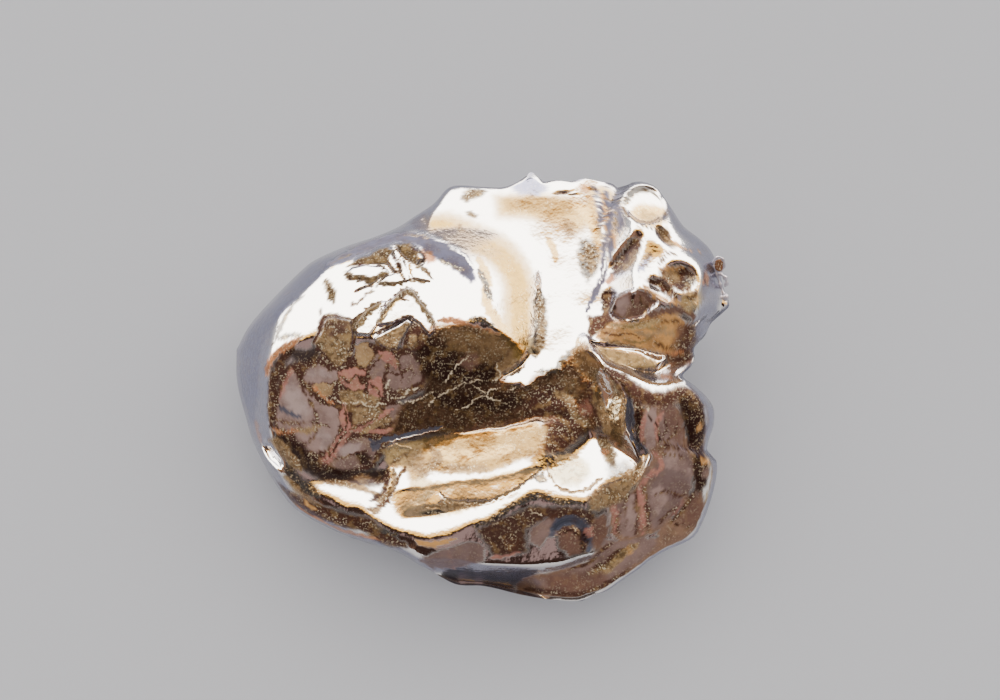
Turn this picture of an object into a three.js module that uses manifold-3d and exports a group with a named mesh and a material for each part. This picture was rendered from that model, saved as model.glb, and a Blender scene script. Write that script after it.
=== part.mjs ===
// Native silver nugget, millimetres, +Z up, resting on the worn flat of its underside.
// The body is one solid: a sphere whose points are moved onto an outline, an upper face
// built from blended lobes, folds and hollows, and a lumpy underside.
import * as THREE from 'three';
import { mergeVertices } from 'three/addons/utils/BufferGeometryUtils.js';
import Module from 'manifold-3d';

// Driving dimensions
const leanBack = 22; // degrees that the upper face leans away from level
const restBelowRim = 5.0; // worn flat below the middle of the rim
const underDepth = 7.3; // mean depth of the underside in its middle, before it is worn flat
const rimMean = -1.4; // rim height across the face, middle of the swing
const rimSwingFront = 3.3; // rim rises this much towards the front and falls as much behind
const rimSwingSide = 0.9; // and this much towards the right
const edgeSharpness = 26; // power of the roll at the rim, higher is tighter
const skinDetail = 20; // splits per edge of the starting icosahedron
const faceShare = 115; // polar angle of the starting sphere that becomes the upper face
const rollStart = 0.94; // share of the radius where the roll at the rim begins
const rollShare = 0.84; // share of the face's rings that lie inside it
const softening = 0.45; // share that each point moves to the middle of its neighbours
const softeningPasses = 1;
const spread = 1.008; // the outline below is stretched by this
const calmTurn = 20; // degrees to each side over which the middle of the face smooths the outline
const silverColour = 0xe9e2d6;

// The outline across the face, from the left end round by the front
const outlinePoints = [
  [-14.9, 2.1], [-14.9, 0.6], [-14.7, -0.6], [-14.3, -2.0], [-13.9, -3.3], [-13.0, -5.1],
  [-12.1, -6.5], [-11.4, -7.3], [-10.5, -7.9], [-9.3, -8.5], [-8.1, -9.0], [-6.9, -9.4],
  [-5.7, -9.7], [-4.8, -10.1], [-4.0, -10.6], [-3.2, -11.0], [-1.7, -11.8], [0, -11.9],
  [2.1, -12.4], [3.9, -12.7], [5.6, -12.8], [6.3, -12.5], [7.2, -12.2], [8.1, -11.6],
  [9.0, -11.0], [9.9, -10.3], [10.8, -9.8], [12.3, -9.1], [12.9, -8.2], [13.3, -7.2],
  [13.6, -6.2], [13.8, -5.1], [13.7, -4.4], [13.2, -4.1], [13.3, -3.3], [13.6, -2.4],
  [13.6, -1.4], [13.1, -0.6], [12.3, 0.1], [11.6, 0.6], [12.2, 1.0], [12.5, 1.7],
  [12.4, 2.2], [13.1, 2.9], [13.6, 3.9], [14.2, 4.3], [14.6, 4.8], [14.3, 5.6],
  [14.1, 6.5], [13.6, 7.9], [12.9, 8.7], [11.9, 9.5], [11.3, 10.4], [10.7, 11.3],
  [10.2, 11.9], [9.4, 12.2], [8.7, 12.1], [8.2, 11.7], [7.6, 12.1], [6.9, 12.2],
  [5.9, 12.4], [5.2, 12.2], [4.2, 12.3], [3.5, 12.2], [2.8, 12.8], [2.3, 12.4],
  [1.2, 11.9], [0, 11.9], [-1.5, 12.0], [-2.3, 11.8], [-3.1, 10.9], [-4.3, 10.1],
  [-5.2, 9.5], [-6.6, 8.9], [-8.4, 8.3], [-10.2, 7.5], [-11.1, 6.8], [-12.6, 5.3],
  [-14.1, 3.6],
];

// Blends and shapes. Across the face x runs right, y runs back, and heights stand on it.
const degrees = THREE.MathUtils.degToRad;
const ramp = (x, low, high) => THREE.MathUtils.smoothstep(x, low, high);

function smoothMin(a, b, blend) {
  const share = THREE.MathUtils.clamp(0.5 + (0.5 * (b - a)) / blend, 0, 1);
  return b + (a - b) * share - blend * share * (1 - share);
}

function smoothMax(a, b, blend) {
  return -smoothMin(-a, -b, blend);
}

// A plane through [x, y, height] that falls at an angle towards a bearing from +x.
function slope(x, y, [px, py, height], angle, bearing) {
  const turn = degrees(bearing);
  const run = (x - px) * Math.cos(turn) + (y - py) * Math.sin(turn);
  return height - Math.tan(degrees(angle)) * run;
}

// A lobe is the rounded meeting of its facets, each [point, angle, bearing].
function lobe(x, y, blend, facets) {
  return facets
    .map(([point, angle, bearing]) => slope(x, y, point, angle, bearing))
    .reduce((height, facet) => smoothMin(height, facet, blend));
}

function bump(x, y, [px, py], [length, width], turn = 0, power = 1) {
  const angle = degrees(turn);
  const p = ((x - px) * Math.cos(angle) + (y - py) * Math.sin(angle)) / length;
  const q = ((y - py) * Math.cos(angle) - (x - px) * Math.sin(angle)) / width;
  return Math.exp(-((p * p + q * q) ** power));
}

function swell(x, y, size, seed) {
  let height = 0;
  for (let i = 0; i < 5; i += 1) {
    const angle = seed * 1.7 + i * 2.4;
    const pace = (2 * Math.PI) / (size * (0.7 + 0.15 * i));
    const along = x * Math.cos(angle) + y * Math.sin(angle);
    const across = x * Math.sin(angle) - y * Math.cos(angle);
    const bend = 0.8 * Math.sin(pace * 0.6 * across + i);
    height += Math.sin(pace * along + seed * 3.1 + i * 1.9 + bend);
  }
  return height / 3.2;
}

function sampled(points, perSpan) {
  const curve = new THREE.SplineCurve(points.map(([x, y]) => new THREE.Vector2(x, y)));
  return curve.getPoints(perSpan * (points.length - 1));
}

// A profile is read at any x, and holds its end values outside.
function profile(points) {
  const curve = sampled(points, 8);
  return (x) => {
    const next = curve.findIndex((point) => point.x > x);
    if (next === 0) return curve[0].y;
    if (next < 0) return curve.at(-1).y;
    const share = (x - curve[next - 1].x) / (curve[next].x - curve[next - 1].x);
    return THREE.MathUtils.lerp(curve[next - 1].y, curve[next].y, share);
  };
}

// Distance from a path, positive on its left, and the share of the way along it.
function path(points) {
  const curve = sampled(points, 5);
  return (x, y) => {
    const near = { distance: Infinity, side: 1, share: 0 };
    for (let i = 0; i + 1 < curve.length; i += 1) {
      const step = curve[i + 1].clone().sub(curve[i]);
      const from = new THREE.Vector2(x, y).sub(curve[i]);
      const t = THREE.MathUtils.clamp(from.dot(step) / step.lengthSq(), 0, 1);
      const distance = from.distanceTo(step.clone().multiplyScalar(t));
      if (distance < near.distance) {
        near.distance = distance;
        near.side = Math.sign(step.cross(from)) || 1;
        near.share = (i + t) / (curve.length - 1);
      }
    }
    return [near.distance * near.side, near.share];
  };
}

// Distance inside a polygon, negative outside.
function insideBy(x, y, corners) {
  let nearest = Infinity;
  let inside = false;
  corners.forEach(([ax, ay], i) => {
    const [bx, by] = corners[(i + 1) % corners.length];
    const [ex, ey] = [bx - ax, by - ay];
    const along = ((x - ax) * ex + (y - ay) * ey) / (ex * ex + ey * ey);
    const t = THREE.MathUtils.clamp(along, 0, 1);
    nearest = Math.min(nearest, Math.hypot(x - ax - t * ex, y - ay - t * ey));
    if (ay > y !== by > y && x < ax + (ex * (y - ay)) / ey) inside = !inside;
  });
  return inside ? nearest : -nearest;
}

// A soft ridge along a path, fading out at both ends
function ridge(points, width) {
  const nearest = path(points);
  return (x, y) => {
    const [distance, share] = nearest(x, y);
    return Math.exp(-((distance / width) ** 2)) * ramp(share, 0, 0.2) * ramp(1 - share, 0, 0.2);
  };
}

// The trough that runs down from the far lip to the middle of the face
const troughEdge = path([
  [-4.5, 9.8], [-1.5, 8.9], [0.6, 7.9], [1.7, 6.8], [2.1, 5.3], [2.2, 3.5], [2.4, 1.5],
]);
const troughGroove = ridge([[3.4, 7.0], [3.3, 5.0], [3.4, 3.0], [3.2, 1.6]], 0.4);
function trough(x, y) {
  const floor = slope(x, y, [3.0, 0.75, 1.5], 31, 97);
  const endWall = slope(x, y, [3, 9.6, -3.1], 24, 98) - 0.35 * Math.max(0.8 - x, 0);
  const shelf = lobe(x, y, 0.4, [[[-2.5, 9.3, -2.2], 32, 57], [[-3.4, 9.4, -2.0], 60, 150]]);
  const [distance, share] = troughEdge(x, y);
  const seam = 0.1 * Math.exp(-(((distance - 0.2) / 0.5) ** 2)) * ramp(1 - share, 0, 0.3);
  return smoothMax(smoothMax(floor, endWall, 0.7), shelf, 0.5) - seam - 0.08 * troughGroove(x, y);
}

// The shallow dark basin at the foot of the trough
function basin(x, y) {
  return lobe(x, y, 0.5, [[[2.4, 0, 1.7], 9, -75], [[4.4, 1.6, 1.6], 20, -35]]);
}

// The rounded ridge between the basin and the lip
function shoulder(x, y) {
  return lobe(x, y, 0.4, [
    [[7.0, -0.9, 2.0], 28, 82],
    [[7.0, -2.3, 2.6], 8, 84],
    [[6.5, 0, 1.7], 28, 198],
    [[7.95, 0, 1.9], 30, -12],
  ]);
}

// The big smooth lobe at the left
function leftLobe(x, y) {
  return lobe(x, y, 0.34, [
    [[-9, -1, 3.0], 2, -90],
    [[-1.4, 3.9, 3.0], 16, -45],
    [[-6, 3.3, 3.0], 33, 92],
    [[-11.6, 2.9, 2.9], 34, 128],
    [[0, 4.2, 2.7], 30, 62],
    [[-9.5, 6.7, 1.05], 62, 122],
    [[-6.5, 7.9, 0.25], 62, 102],
    [[-3.4, 8.1, 0.15], 60, 84],
    [[-1.2, 7.4, 0.35], 49, 66],
    [[0.4, 5.0, 1.9], 45, 40],
    [[1.1, 3.0, 2.35], 45, 26],
    [[-13.1, 0, 2.6], 66, 182],
    [[-12.75, 2.8, 2.3], 62, 158],
    [[-13.0, -3, 2.6], 62, 205],
    [[-6, -5.4, 3.0], 7, -90],
  ]);
}

// The fold that lies across the lower middle, read as a profile in front of its edge
const foldEdge = profile([
  [-8, -3.9], [-6, -3.75], [-4.5, -3.35], [-2, -2.95], [-0.5, -2.85], [1.3, -2.5], [3, -2.1],
  [3.8, -2.2], [6, -2.6],
]);
const foldRise = profile([
  [-16, -12], [-3, -1.2], [-0.3, 0], [0, 0.28], [0.4, 0.46], [1.2, 0.89], [2.3, 1.46],
  [2.75, 1.74], [3.1, 1.84], [3.9, 2.12], [4.3, 2.12], [4.6, 1.93], [5.6, 1.0], [8, -3],
]);
function innerFold(x, y) {
  const height = 1.34 + foldRise(foldEdge(x) - y);
  const closed = smoothMin(height, slope(x, y, [-5.4, -4.7, 2.5], 34, 158), 0.3);
  return smoothMin(closed, slope(x, y, [4.5, -4.0, 2.1], 28, 10), 0.4);
}

// The thick roll along the front edge, undercut below
const rollLine = profile([
  [-14, -2.6], [-13.2, -3.7], [-12.2, -5.0], [-11, -6.1], [-10, -6.6], [-8.5, -7.1], [-7.3, -7.4],
  [-6.6, -8.0], [-5.8, -8.6], [-5, -8.9], [-3.5, -9.1], [-2, -8.8], [-1, -8.4], [0, -8.05],
  [1, -7.5], [2, -7.0], [3, -6.6], [4, -6.8], [5, -6.9], [6, -6.9], [6.6, -6.4], [7.5, -5.8],
  [9, -5.3], [14, -3],
]);
const rollHeight = profile([
  [-14, 2.0], [-13, 2.5], [-11, 3.05], [-8, 3.5], [-6.6, 3.75], [-5, 4.1], [-2.5, 4.3], [0, 4.1],
  [3, 3.7], [5.5, 3.4], [7.2, 3.1], [8.7, 2.9], [9.4, 2.2], [10.5, 0.5], [14, -4],
]);
const endRidge = ridge([[-13.5, -3.5], [-13.0, -4.2], [-12.4, -4.9], [-11.8, -5.5]], 0.38);
function frontRoll(x, y) {
  const behind = y - rollLine(x);
  const crest = rollHeight(x);
  const fallBack = crest - Math.tan(degrees(34)) * (behind - 0.15);
  const top = smoothMin(fallBack, crest + 0.05 * behind, 0.4);
  const sides = lobe(x, y, 0.3, [
    [[0, -10.5, 4.0], 66, -92],
    [[5.8, -10.0, 3.5], 60, -75],
    [[-12.9, -4.2, 2.4], 64, 202],
    [[-13.2, -3.2, 2.2], 60, 150],
  ]);
  return smoothMin(top, sides, 0.28) + 0.3 * endRidge(x, y);
}

function lowerLip(x, y) {
  return lobe(x, y, 0.3, [
    [[5.5, -11.8, 2.25], 10, -60],
    [[3.0, -11.7, 2.1], 62, 215],
    [[9, -9.4, 2.65], 40, 100],
  ]);
}

// A small crater with a mound and a bead in it, on the front of the roll
const craterGroove = ridge([
  [3.8, -8.9], [4.1, -8.4], [4.6, -8.05], [5.2, -8.0], [5.8, -8.4], [6.1, -9.2], [6.2, -9.9],
], 0.3);
function crater(x, y) {
  const mound = 0.18 * bump(x, y, [5.0, -9.2], [0.8, 0.7], -10, 1.6);
  const bead = 0.3 * bump(x, y, [6.2, -8.7], [0.28, 0.28], 0, 1.2);
  return mound + bead - 0.45 * craterGroove(x, y);
}

// The sharp lip between the basin and the apron
const lipLine = profile([
  [-14, 4.9], [-7, 5.1], [-5, 5.25], [-4.0, 5.4], [-2.7, 6.15], [-2.0, 6.3], [-1.1, 7.0], [-0.4, 7.7], [0.3, 8.2],
  [0.9, 8.45], [2.2, 8.35], [3.0, 8.6], [4.4, 9.3], [6, 10],
]);
const lipHeight = profile([
  [-14, -9], [-7, -3.6], [-5, -2.0], [-4.0, -1.2], [-3.2, 0.2], [-2.6, 1.2], [-1.2, 2.1], [0, 2.55], [1.5, 2.85],
  [3.0, 2.85], [4.4, 2.5], [6, 2.0],
]);
function lip(x, y) {
  const right = x - lipLine(-y);
  const crest = lipHeight(-y);
  const foot = crest - 0.45 + Math.tan(degrees(42)) * (right + 0.7);
  const west = smoothMin(crest + 0.5 * (right + 0.1), foot, 0.2);
  return smoothMin(west, crest - Math.tan(degrees(58)) * right, 0.12);
}

// The flat apron at the lower right, rolled down along its back edge and walled on its left
const apronEdge = profile([
  [5, -0.5], [6, 1.3], [6.7, 1.3], [7.5, 0.6], [8.5, 0.2], [9.8, -0.35], [10.5, -0.45],
  [11.3, -0.25], [12, -0.15], [12.8, -0.5], [13.4, -1.2], [14, -2],
]);
const apronDrop = profile([
  [-9, 0], [-2.1, 0], [-1.3, 0.09], [-0.6, 0.25], [-0.1, 0.43], [0.3, 0.73], [0.8, 1.32],
  [3, 5], [20, 32],
]);
const apronWest = profile([
  [-6, 9.5], [-3.4, 7.0], [-2.7, 6.3], [-2.0, 6.6], [-1.1, 7.3], [-0.4, 7.9], [0.3, 8.45],
  [0.9, 8.75], [2.2, 8.9], [3.2, 9.1], [3.9, 9.7], [4.6, 9.6], [5.4, 9.2], [6.2, 8.6],
  [7.0, 7.7], [8, 7.3], [9.5, 7.0], [12, 7.0],
]);
function apron(x, y) {
  const roll = 2.85 - apronDrop(y - apronEdge(x));
  const plate = lobe(x, y, 0.22, [
    [[10.5, -3, 2.8], 2.5, -60],
    [[11.5, -2.2, 2.78], 13, -5],
    [[12.8, -2.5, 2.45], 34, 0],
    [[13.3, -3, 2.2], 55, 5],
    [[12.3, -7.0, 2.75], 15, -35],
    [[12.9, -7.9, 2.4], 38, -38],
    [[10, -9.2, 2.8], 12, -65],
  ]);
  const wall = 2.7 + Math.tan(degrees(58)) * (x - apronWest(-y) - 0.1);
  return smoothMin(roll, smoothMin(plate, wall, 0.2), 0.2);
}

// The cluster of knobs and pits at the upper right
const knobRidge = ridge([[8.4, 9.9], [9.2, 9.3], [10.2, 8.6], [11.2, 8.1], [12.4, 8.0]], 0.45);
const knobGap = ridge([[9.7, 6.3], [10.7, 5.8], [11.4, 5.3]], 0.3);
const knobSill = ridge([[9.3, 6.0], [10.4, 5.15], [11.6, 4.8]], 0.25);
function knobs(x, y) {
  const body = lobe(x, y, 0.35, [
    [[10, 5.2, 1.8], 25, 86],
    [[13.2, 6.5, 0.7], 55, 12],
    [[12.2, 8.4, 0.2], 48, 48],
    [[10, 4.3, 2.1], 33, -82],
    [[8.0, 4.3, 1.8], 30, -105],
    [[7.0, 7.0, -1.75], 55, 162],
    [[12.5, 4.2, 1.9], 64, -25],
  ]);
  const knob = 0.65 * bump(x, y, [11.85, 6.6], [1.45, 1.4], 0, 2.2);
  const dimple = 0.95 * bump(x, y, [11.6, 6.45], [0.95, 0.68], -30, 1.4);
  const obliquePit = 0.62 * bump(x, y, [8.45, 7.75], [1.35, 0.48], 52, 1.6);
  const smallPit = 0.5 * bump(x, y, [10.8, 8.85], [0.7, 0.26], -48, 1.5);
  const notch = 0.3 * bump(x, y, [7.45, 5.05], [0.35, 0.6], 0, 1.6);
  const pits = dimple + obliquePit + smallPit + notch + 0.45 * knobGap(x, y);
  return body + knob - pits + 0.12 * knobRidge(x, y) + 0.25 * knobSill(x, y);
}

// Flat faces let into the surface: corners, a point on the face, its fall and bearing
const insets = [
  // leaf-shaped ledge under the knobs
  [[[6.3, 2.6], [7.3, 2.35], [9.2, 2.1], [10.3, 1.65], [10.8, 1.6], [10.3, 0.95], [9, 1], [8, 1.2], [7.2, 1.6]],
    [8.7, 1.7, 1.0], 20, 100],
  // six-sided facet
  [[[7.8, 5.2], [8.5, 5.6], [9.3, 5.8], [9.7, 5.5], [10.35, 5], [9.9, 4.6], [9.5, 4.1], [8.2, 3.9], [7.5, 4.4]],
    [8.8, 4.9, 1.5], 5, -60],
  // foot of the trough
  [[[2.7, 2.1], [2.1, 1.35], [1.05, 0.7], [0.95, 0.35], [1.7, 0], [2.4, -0.25], [2.8, -0.1], [3.2, 0.35],
    [4, 0.75], [4.5, 0.9], [4, 1.8]], [3, 0.75, 1.5], 31, 97],
  // bright facet on the left end of the roll
  [[[-13.35, -3.6], [-12.95, -3.65], [-12.1, -4.6], [-12.2, -4.95], [-12.85, -4.5]], [-12.75, -4.3, 1.95], 36, 118],
];

// Chips raised on the left lobe: corners, lift above it, fall and bearing of the top
const chips = [
  [[[-9.5, 3.9], [-9.2, 4.05], [-8, 3.85], [-7.85, 3.1], [-7.9, 2.5], [-8.3, 1.4], [-8.75, 1.05], [-9.3, 1.55],
    [-10.1, 2.5], [-9.7, 3.2]], 0.3, 9, -80],
  [[[-6.35, 3.6], [-6.3, 4.3], [-5.7, 4.9], [-5, 5.6], [-4.6, 5.8], [-4.3, 5.6], [-3.8, 4.9], [-3.3, 4.3],
    [-3.05, 3.9], [-3.05, 3.2], [-3.3, 2.85], [-3.9, 3.7], [-4.5, 4.05], [-5.4, 3.75]], 0.4, 27, 88],
  [[[-6.6, 2.8], [-6, 3.15], [-5.2, 3.55], [-4.6, 3.95], [-4.35, 3.75], [-4.9, 2.9], [-5.2, 2.1], [-6.2, 2.4]],
    0.22, 12, 100],
  [[[-7.85, 3.35], [-7.5, 3.9], [-7, 4.5], [-6.2, 4.95], [-5.9, 5], [-6.5, 3.5], [-6.9, 3], [-7.6, 3.05]],
    0.25, 28, 70],
  [[[-8.3, 6.7], [-8, 7], [-7.2, 7.2], [-6.4, 7.1], [-5.75, 6.7], [-6.5, 6.3], [-6.9, 6], [-7, 6.3], [-7.9, 6.4]],
    0.35, 33, 95],
  [[[-5.95, 7.8], [-5.6, 7.95], [-5.3, 7.3], [-5.1, 6.9], [-5.15, 6.65], [-5.5, 6.85], [-5.9, 7.4]], 0.3, 32, 70],
  [[[-5.1, 7.8], [-4.8, 7.3], [-4.6, 6.8], [-4.5, 6.3], [-4.75, 6.2], [-5, 6.6], [-5.15, 7.2]], 0.28, 33, 60],
  [[[-5.4, 8.4], [-4.6, 8.5], [-4, 8.1], [-3.6, 7.6], [-4, 7.2], [-4.4, 7.3], [-5, 7.9]], 0.45, 20, 140],
  [[[-8.2, 7.15], [-7.6, 7.6], [-6.9, 7.75], [-6.4, 8.15], [-5.5, 8.1], [-5.9, 7.35], [-6.5, 7.3]], 0.3, 24, 110],
];

// Levels the surface to a plane inside the corners.
function levelled(x, y, height, corners, point, angle, bearing) {
  const share = ramp(insideBy(x, y, corners), -0.15, 0.2);
  return THREE.MathUtils.lerp(height, slope(x, y, point, angle, bearing), share);
}

const chipMiddles = chips.map(([corners, lift]) => {
  const x = corners.reduce((sum, corner) => sum + corner[0], 0) / corners.length;
  const y = corners.reduce((sum, corner) => sum + corner[1], 0) / corners.length;
  return [x, y, leftLobe(x, y) + lift];
});

function withInsets(x, y, ground) {
  let height = ground;
  insets.forEach(([corners, point, angle, bearing]) => {
    height = levelled(x, y, height, corners, point, angle, bearing);
  });
  chips.forEach(([corners, , angle, bearing], i) => {
    height = levelled(x, y, height, corners, chipMiddles[i], angle, bearing);
  });
  return height;
}

// The round framed disc near the far right
function withDisc(x, y, height) {
  const level = slope(x, y, [9.75, 10.85, -1.9], 26, 75);
  const radius = Math.hypot((x - 9.75) / 1.3, (y - 10.85) / 1.15);
  const framed = smoothMax(height, level + 0.12 - 1.5 * Math.max(radius - 1.12, 0), 0.3);
  return THREE.MathUtils.lerp(framed, level, ramp(1 - radius, -0.1, 0.15));
}

function faceHeight(x0, y0) {
  const x = x0 + 0.1 * swell(x0, y0, 4.1, 3);
  const y = y0 + 0.1 * swell(x0, y0, 3.7, 5);
  const hollow = smoothMin(trough(x, y), basin(x, y), 0.7) - 0.6 * Math.max(-8 - x, 0);
  let height = smoothMax(hollow, shoulder(x, y), 0.35);
  height = smoothMax(height, innerFold(x, y), 0.2);
  height = smoothMax(height, frontRoll(x, y) + crater(x, y), 0.22);
  height = smoothMax(height, lowerLip(x, y), 0.2);
  height = smoothMax(height, leftLobe(x, y), 0.35);
  height = smoothMax(height, apron(x, y), 0.2);
  height = smoothMax(height, lip(x, y), 0.15);
  height = smoothMax(height, knobs(x, y), 0.3);
  return withDisc(x0, y0, withInsets(x0, y0, height)) + 0.014 * swell(x0, y0, 2.3, 7);
}

// The rim and the underside
const rimRadii = sampled([...outlinePoints, outlinePoints[0]], 6)
  .map((point) => [Math.atan2(point.y, point.x), point.length()])
  .sort((a, b) => a[0] - b[0]);
function rimRadius(turned) {
  const angle = Math.atan2(Math.sin(turned), Math.cos(turned));
  const next = rimRadii.findIndex((sample) => sample[0] > angle);
  const after = rimRadii[Math.max(next, 0)];
  const before = rimRadii.at(next < 0 ? -1 : next - 1);
  const turn = (value) => (value + 4 * Math.PI) % (2 * Math.PI);
  const share = turn(angle - before[0]) / (turn(after[0] - before[0]) || 1);
  return spread * THREE.MathUtils.lerp(before[1], after[1], share);
}

// The outline with its small ins and outs smoothed away
function calmRadius(angle) {
  let sum = 0;
  for (let i = -5; i <= 5; i += 1) sum += rimRadius(angle + (degrees(calmTurn) * i) / 5);
  return sum / 11;
}

function rimHeight(angle) {
  const swing = rimSwingSide * Math.cos(angle) - rimSwingFront * Math.sin(angle);
  return rimMean + swing + 0.25 * Math.sin(3 * angle + 1);
}

function underside(x, y) {
  const lumps = 0.7 * swell(x, y, 11, 2) + 0.3 * swell(x, y, 5, 6);
  return -underDepth - y * Math.tan(degrees(leanBack)) + lumps;
}

// How full the flank is below the rim, from round to blunt
function fullness(angle) {
  return 2.9 + 0.9 * Math.sin(3 * angle + 0.6) + 0.5 * Math.sin(5 * angle + 2);
}

// Moves a point of the unit sphere to the nugget's skin, in the face's own axes.
function toSkin(direction) {
  const polar = Math.acos(THREE.MathUtils.clamp(direction.z, -1, 1));
  const angle = Math.atan2(direction.y, direction.x);
  const edge = degrees(faceShare);
  const onFace = polar < edge;
  const share = onFace ? polar / edge : (Math.PI - polar) / (Math.PI - edge);
  let radius;
  if (!onFace) {
    radius = Math.sin((share * Math.PI) / 2);
  } else if (share < rollShare) {
    radius = (rollStart * Math.sin(polar / 2)) / Math.sin((rollShare * edge) / 2);
  } else {
    const first = Math.asin(rollStart ** (edgeSharpness / 2));
    const around = THREE.MathUtils.mapLinear(share, rollShare, 1, first, Math.PI / 2);
    radius = Math.sin(around) ** (2 / edgeSharpness);
  }
  const calm = calmRadius(angle);
  const reach = radius * (calm + (rimRadius(angle) - calm) * radius ** 6);
  const [x, y] = [reach * Math.cos(angle), reach * Math.sin(angle)];
  const rim = rimHeight(angle);
  const fill = Math.sqrt(Math.max(0, 1 - radius ** (onFace ? edgeSharpness : fullness(angle))));
  const target = onFace ? faceHeight(x, y) : underside(x, y);
  return new THREE.Vector3(x, y, rim + (target - rim) * fill);
}

// Closed solids
const wasm = await Module();
wasm.setup();

function toSolid(geometry) {
  const bare = geometry.clone();
  bare.deleteAttribute('normal');
  bare.deleteAttribute('uv');
  const welded = mergeVertices(bare, 1e-4);
  return new wasm.Manifold(new wasm.Mesh({
    numProp: 3,
    vertProperties: new Float32Array(welded.attributes.position.array),
    triVerts: new Uint32Array(welded.index.array),
  }));
}

function makeSkin() {
  const ball = new THREE.IcosahedronGeometry(1, skinDetail);
  ball.deleteAttribute('normal');
  ball.deleteAttribute('uv');
  const skin = mergeVertices(ball, 1e-5);
  const points = skin.attributes.position;
  for (let i = 0; i < points.count; i += 1) {
    const moved = toSkin(new THREE.Vector3().fromBufferAttribute(points, i).normalize());
    points.setXYZ(i, moved.x, moved.y, moved.z);
  }
  for (let pass = 0; pass < softeningPasses; pass += 1) soften(skin);
  return skin;
}

// Eases each point towards the middle of its neighbours, so that no wall is left ragged.
function soften(skin) {
  const points = skin.attributes.position;
  const corners = skin.index.array;
  const sums = Array.from({ length: points.count }, () => new THREE.Vector3());
  const counts = new Array(points.count).fill(0);
  const at = (i) => new THREE.Vector3().fromBufferAttribute(points, i);
  for (let i = 0; i < corners.length; i += 1) {
    const next = i % 3 === 2 ? corners[i - 2] : corners[i + 1];
    sums[corners[i]].add(at(next));
    counts[corners[i]] += 1;
  }
  sums.forEach((sum, i) => {
    const eased = at(i).lerp(sum.divideScalar(counts[i]), softening);
    points.setXYZ(i, eased.x, eased.y, eased.z);
  });
}

// Curled threads of metal that stand off the right flank, as chains of beads: x, y, height
const threads = [
  [[13.35, 7.25, -0.95], [13.6, 7.3, -0.75], [13.85, 7.6, -0.6], [14.2, 7.65, -0.6], [14.4, 7.35, -0.65],
    [14.25, 7.0, -0.7], [13.95, 6.95, -0.8]],
  [[13.6, 6.75, -1.2], [13.85, 6.8, -0.9], [14.15, 6.65, -0.9], [14.2, 6.35, -1.0], [14.0, 6.1, -1.0],
    [14.15, 5.85, -1.0], [14.35, 5.75, -1.1], [14.3, 5.5, -1.3]],
];
const threadRadius = 0.22;

const lean = new THREE.Matrix4().makeRotationX(degrees(leanBack));
const restLevel = rimMean - restBelowRim;

let solid = toSolid(makeSkin().applyMatrix4(lean));
threads.flat().forEach(([x, y, height]) => {
  const bead = new THREE.IcosahedronGeometry(threadRadius, 0);
  bead.translate(x, y, height).applyMatrix4(lean);
  solid = solid.add(toSolid(bead));
});
const below = new THREE.BoxGeometry(60, 60, 20).translate(0, 0, restLevel - 10);
solid = solid.subtract(toSolid(below));

const made = solid.getMesh();
const geometry = new THREE.BufferGeometry();
geometry.setAttribute('position', new THREE.BufferAttribute(made.vertProperties, 3));
geometry.setIndex(new THREE.BufferAttribute(made.triVerts, 1));
geometry.computeBoundingBox();
const box = geometry.boundingBox;
geometry.translate(-(box.min.x + box.max.x) / 2, -(box.min.y + box.max.y) / 2, -box.min.z);
geometry.computeVertexNormals();

const silver = new THREE.MeshStandardMaterial({ color: silverColour, roughness: 0.22, metalness: 1 });
const silverNugget = new THREE.Mesh(geometry, silver);
silverNugget.name = 'silver_nugget';

const nugget = new THREE.Group();
nugget.add(silverNugget);

export default nugget;
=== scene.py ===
import math

import bmesh
import bpy
import numpy as np
from mathutils import Matrix, Vector


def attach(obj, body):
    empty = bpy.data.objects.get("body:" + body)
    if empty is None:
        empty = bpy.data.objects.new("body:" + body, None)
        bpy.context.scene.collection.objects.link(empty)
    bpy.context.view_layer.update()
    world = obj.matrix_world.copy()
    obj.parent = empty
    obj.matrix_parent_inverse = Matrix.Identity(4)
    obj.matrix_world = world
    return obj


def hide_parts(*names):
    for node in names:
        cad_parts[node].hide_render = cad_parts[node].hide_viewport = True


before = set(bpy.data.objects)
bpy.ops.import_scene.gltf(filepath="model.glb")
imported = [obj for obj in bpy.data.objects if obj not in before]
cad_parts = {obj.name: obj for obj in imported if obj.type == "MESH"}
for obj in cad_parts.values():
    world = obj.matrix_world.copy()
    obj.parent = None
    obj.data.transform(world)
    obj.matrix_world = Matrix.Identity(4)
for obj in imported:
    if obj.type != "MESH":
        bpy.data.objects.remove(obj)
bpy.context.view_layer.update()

print("stage: frame loaded")

# The nugget is shaped in the axes of its upper face, in mm: x right, y back, heights above it.
pose = {
    "leanBack": 22.0,  # degrees from level to the face
    "faceCentre": (-0.212, 0.611, -6.4),  # what the CAD solid's origin is in the leaned axes, mm
}

# Camera square to the upper face
look = {
    "aimAcross": 0.9,  # mm along the face
    "aimUp": 2.1,
    "frameWidth": 60.0,  # mm seen across the face
    "distance": 400.0,
    "sensor": 36.0,
}


def leaned(point):
    turned = Matrix.Rotation(math.radians(pose["leanBack"]), 3, "X") @ Vector(point)
    return (turned - Vector(pose["faceCentre"])) / 1000


def addCamera():
    data = bpy.data.cameras.new("mainCamera")
    data.sensor_width = look["sensor"]
    data.lens = look["sensor"] * look["distance"] / look["frameWidth"]
    data.clip_start = 0.01
    data.clip_end = 10.0
    camera = bpy.data.objects.new("mainCamera", data)
    bpy.context.scene.collection.objects.link(camera)
    aim = (look["aimAcross"], look["aimUp"], 0.0)
    spot = leaned((aim[0], aim[1], look["distance"]))
    camera.location = spot
    camera.rotation_euler = (leaned(aim) - spot).to_track_quat("-Z", "Y").to_euler()
    bpy.context.scene.camera = camera
    return camera


camera = addCamera()
print("stage: camera placed")

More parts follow.
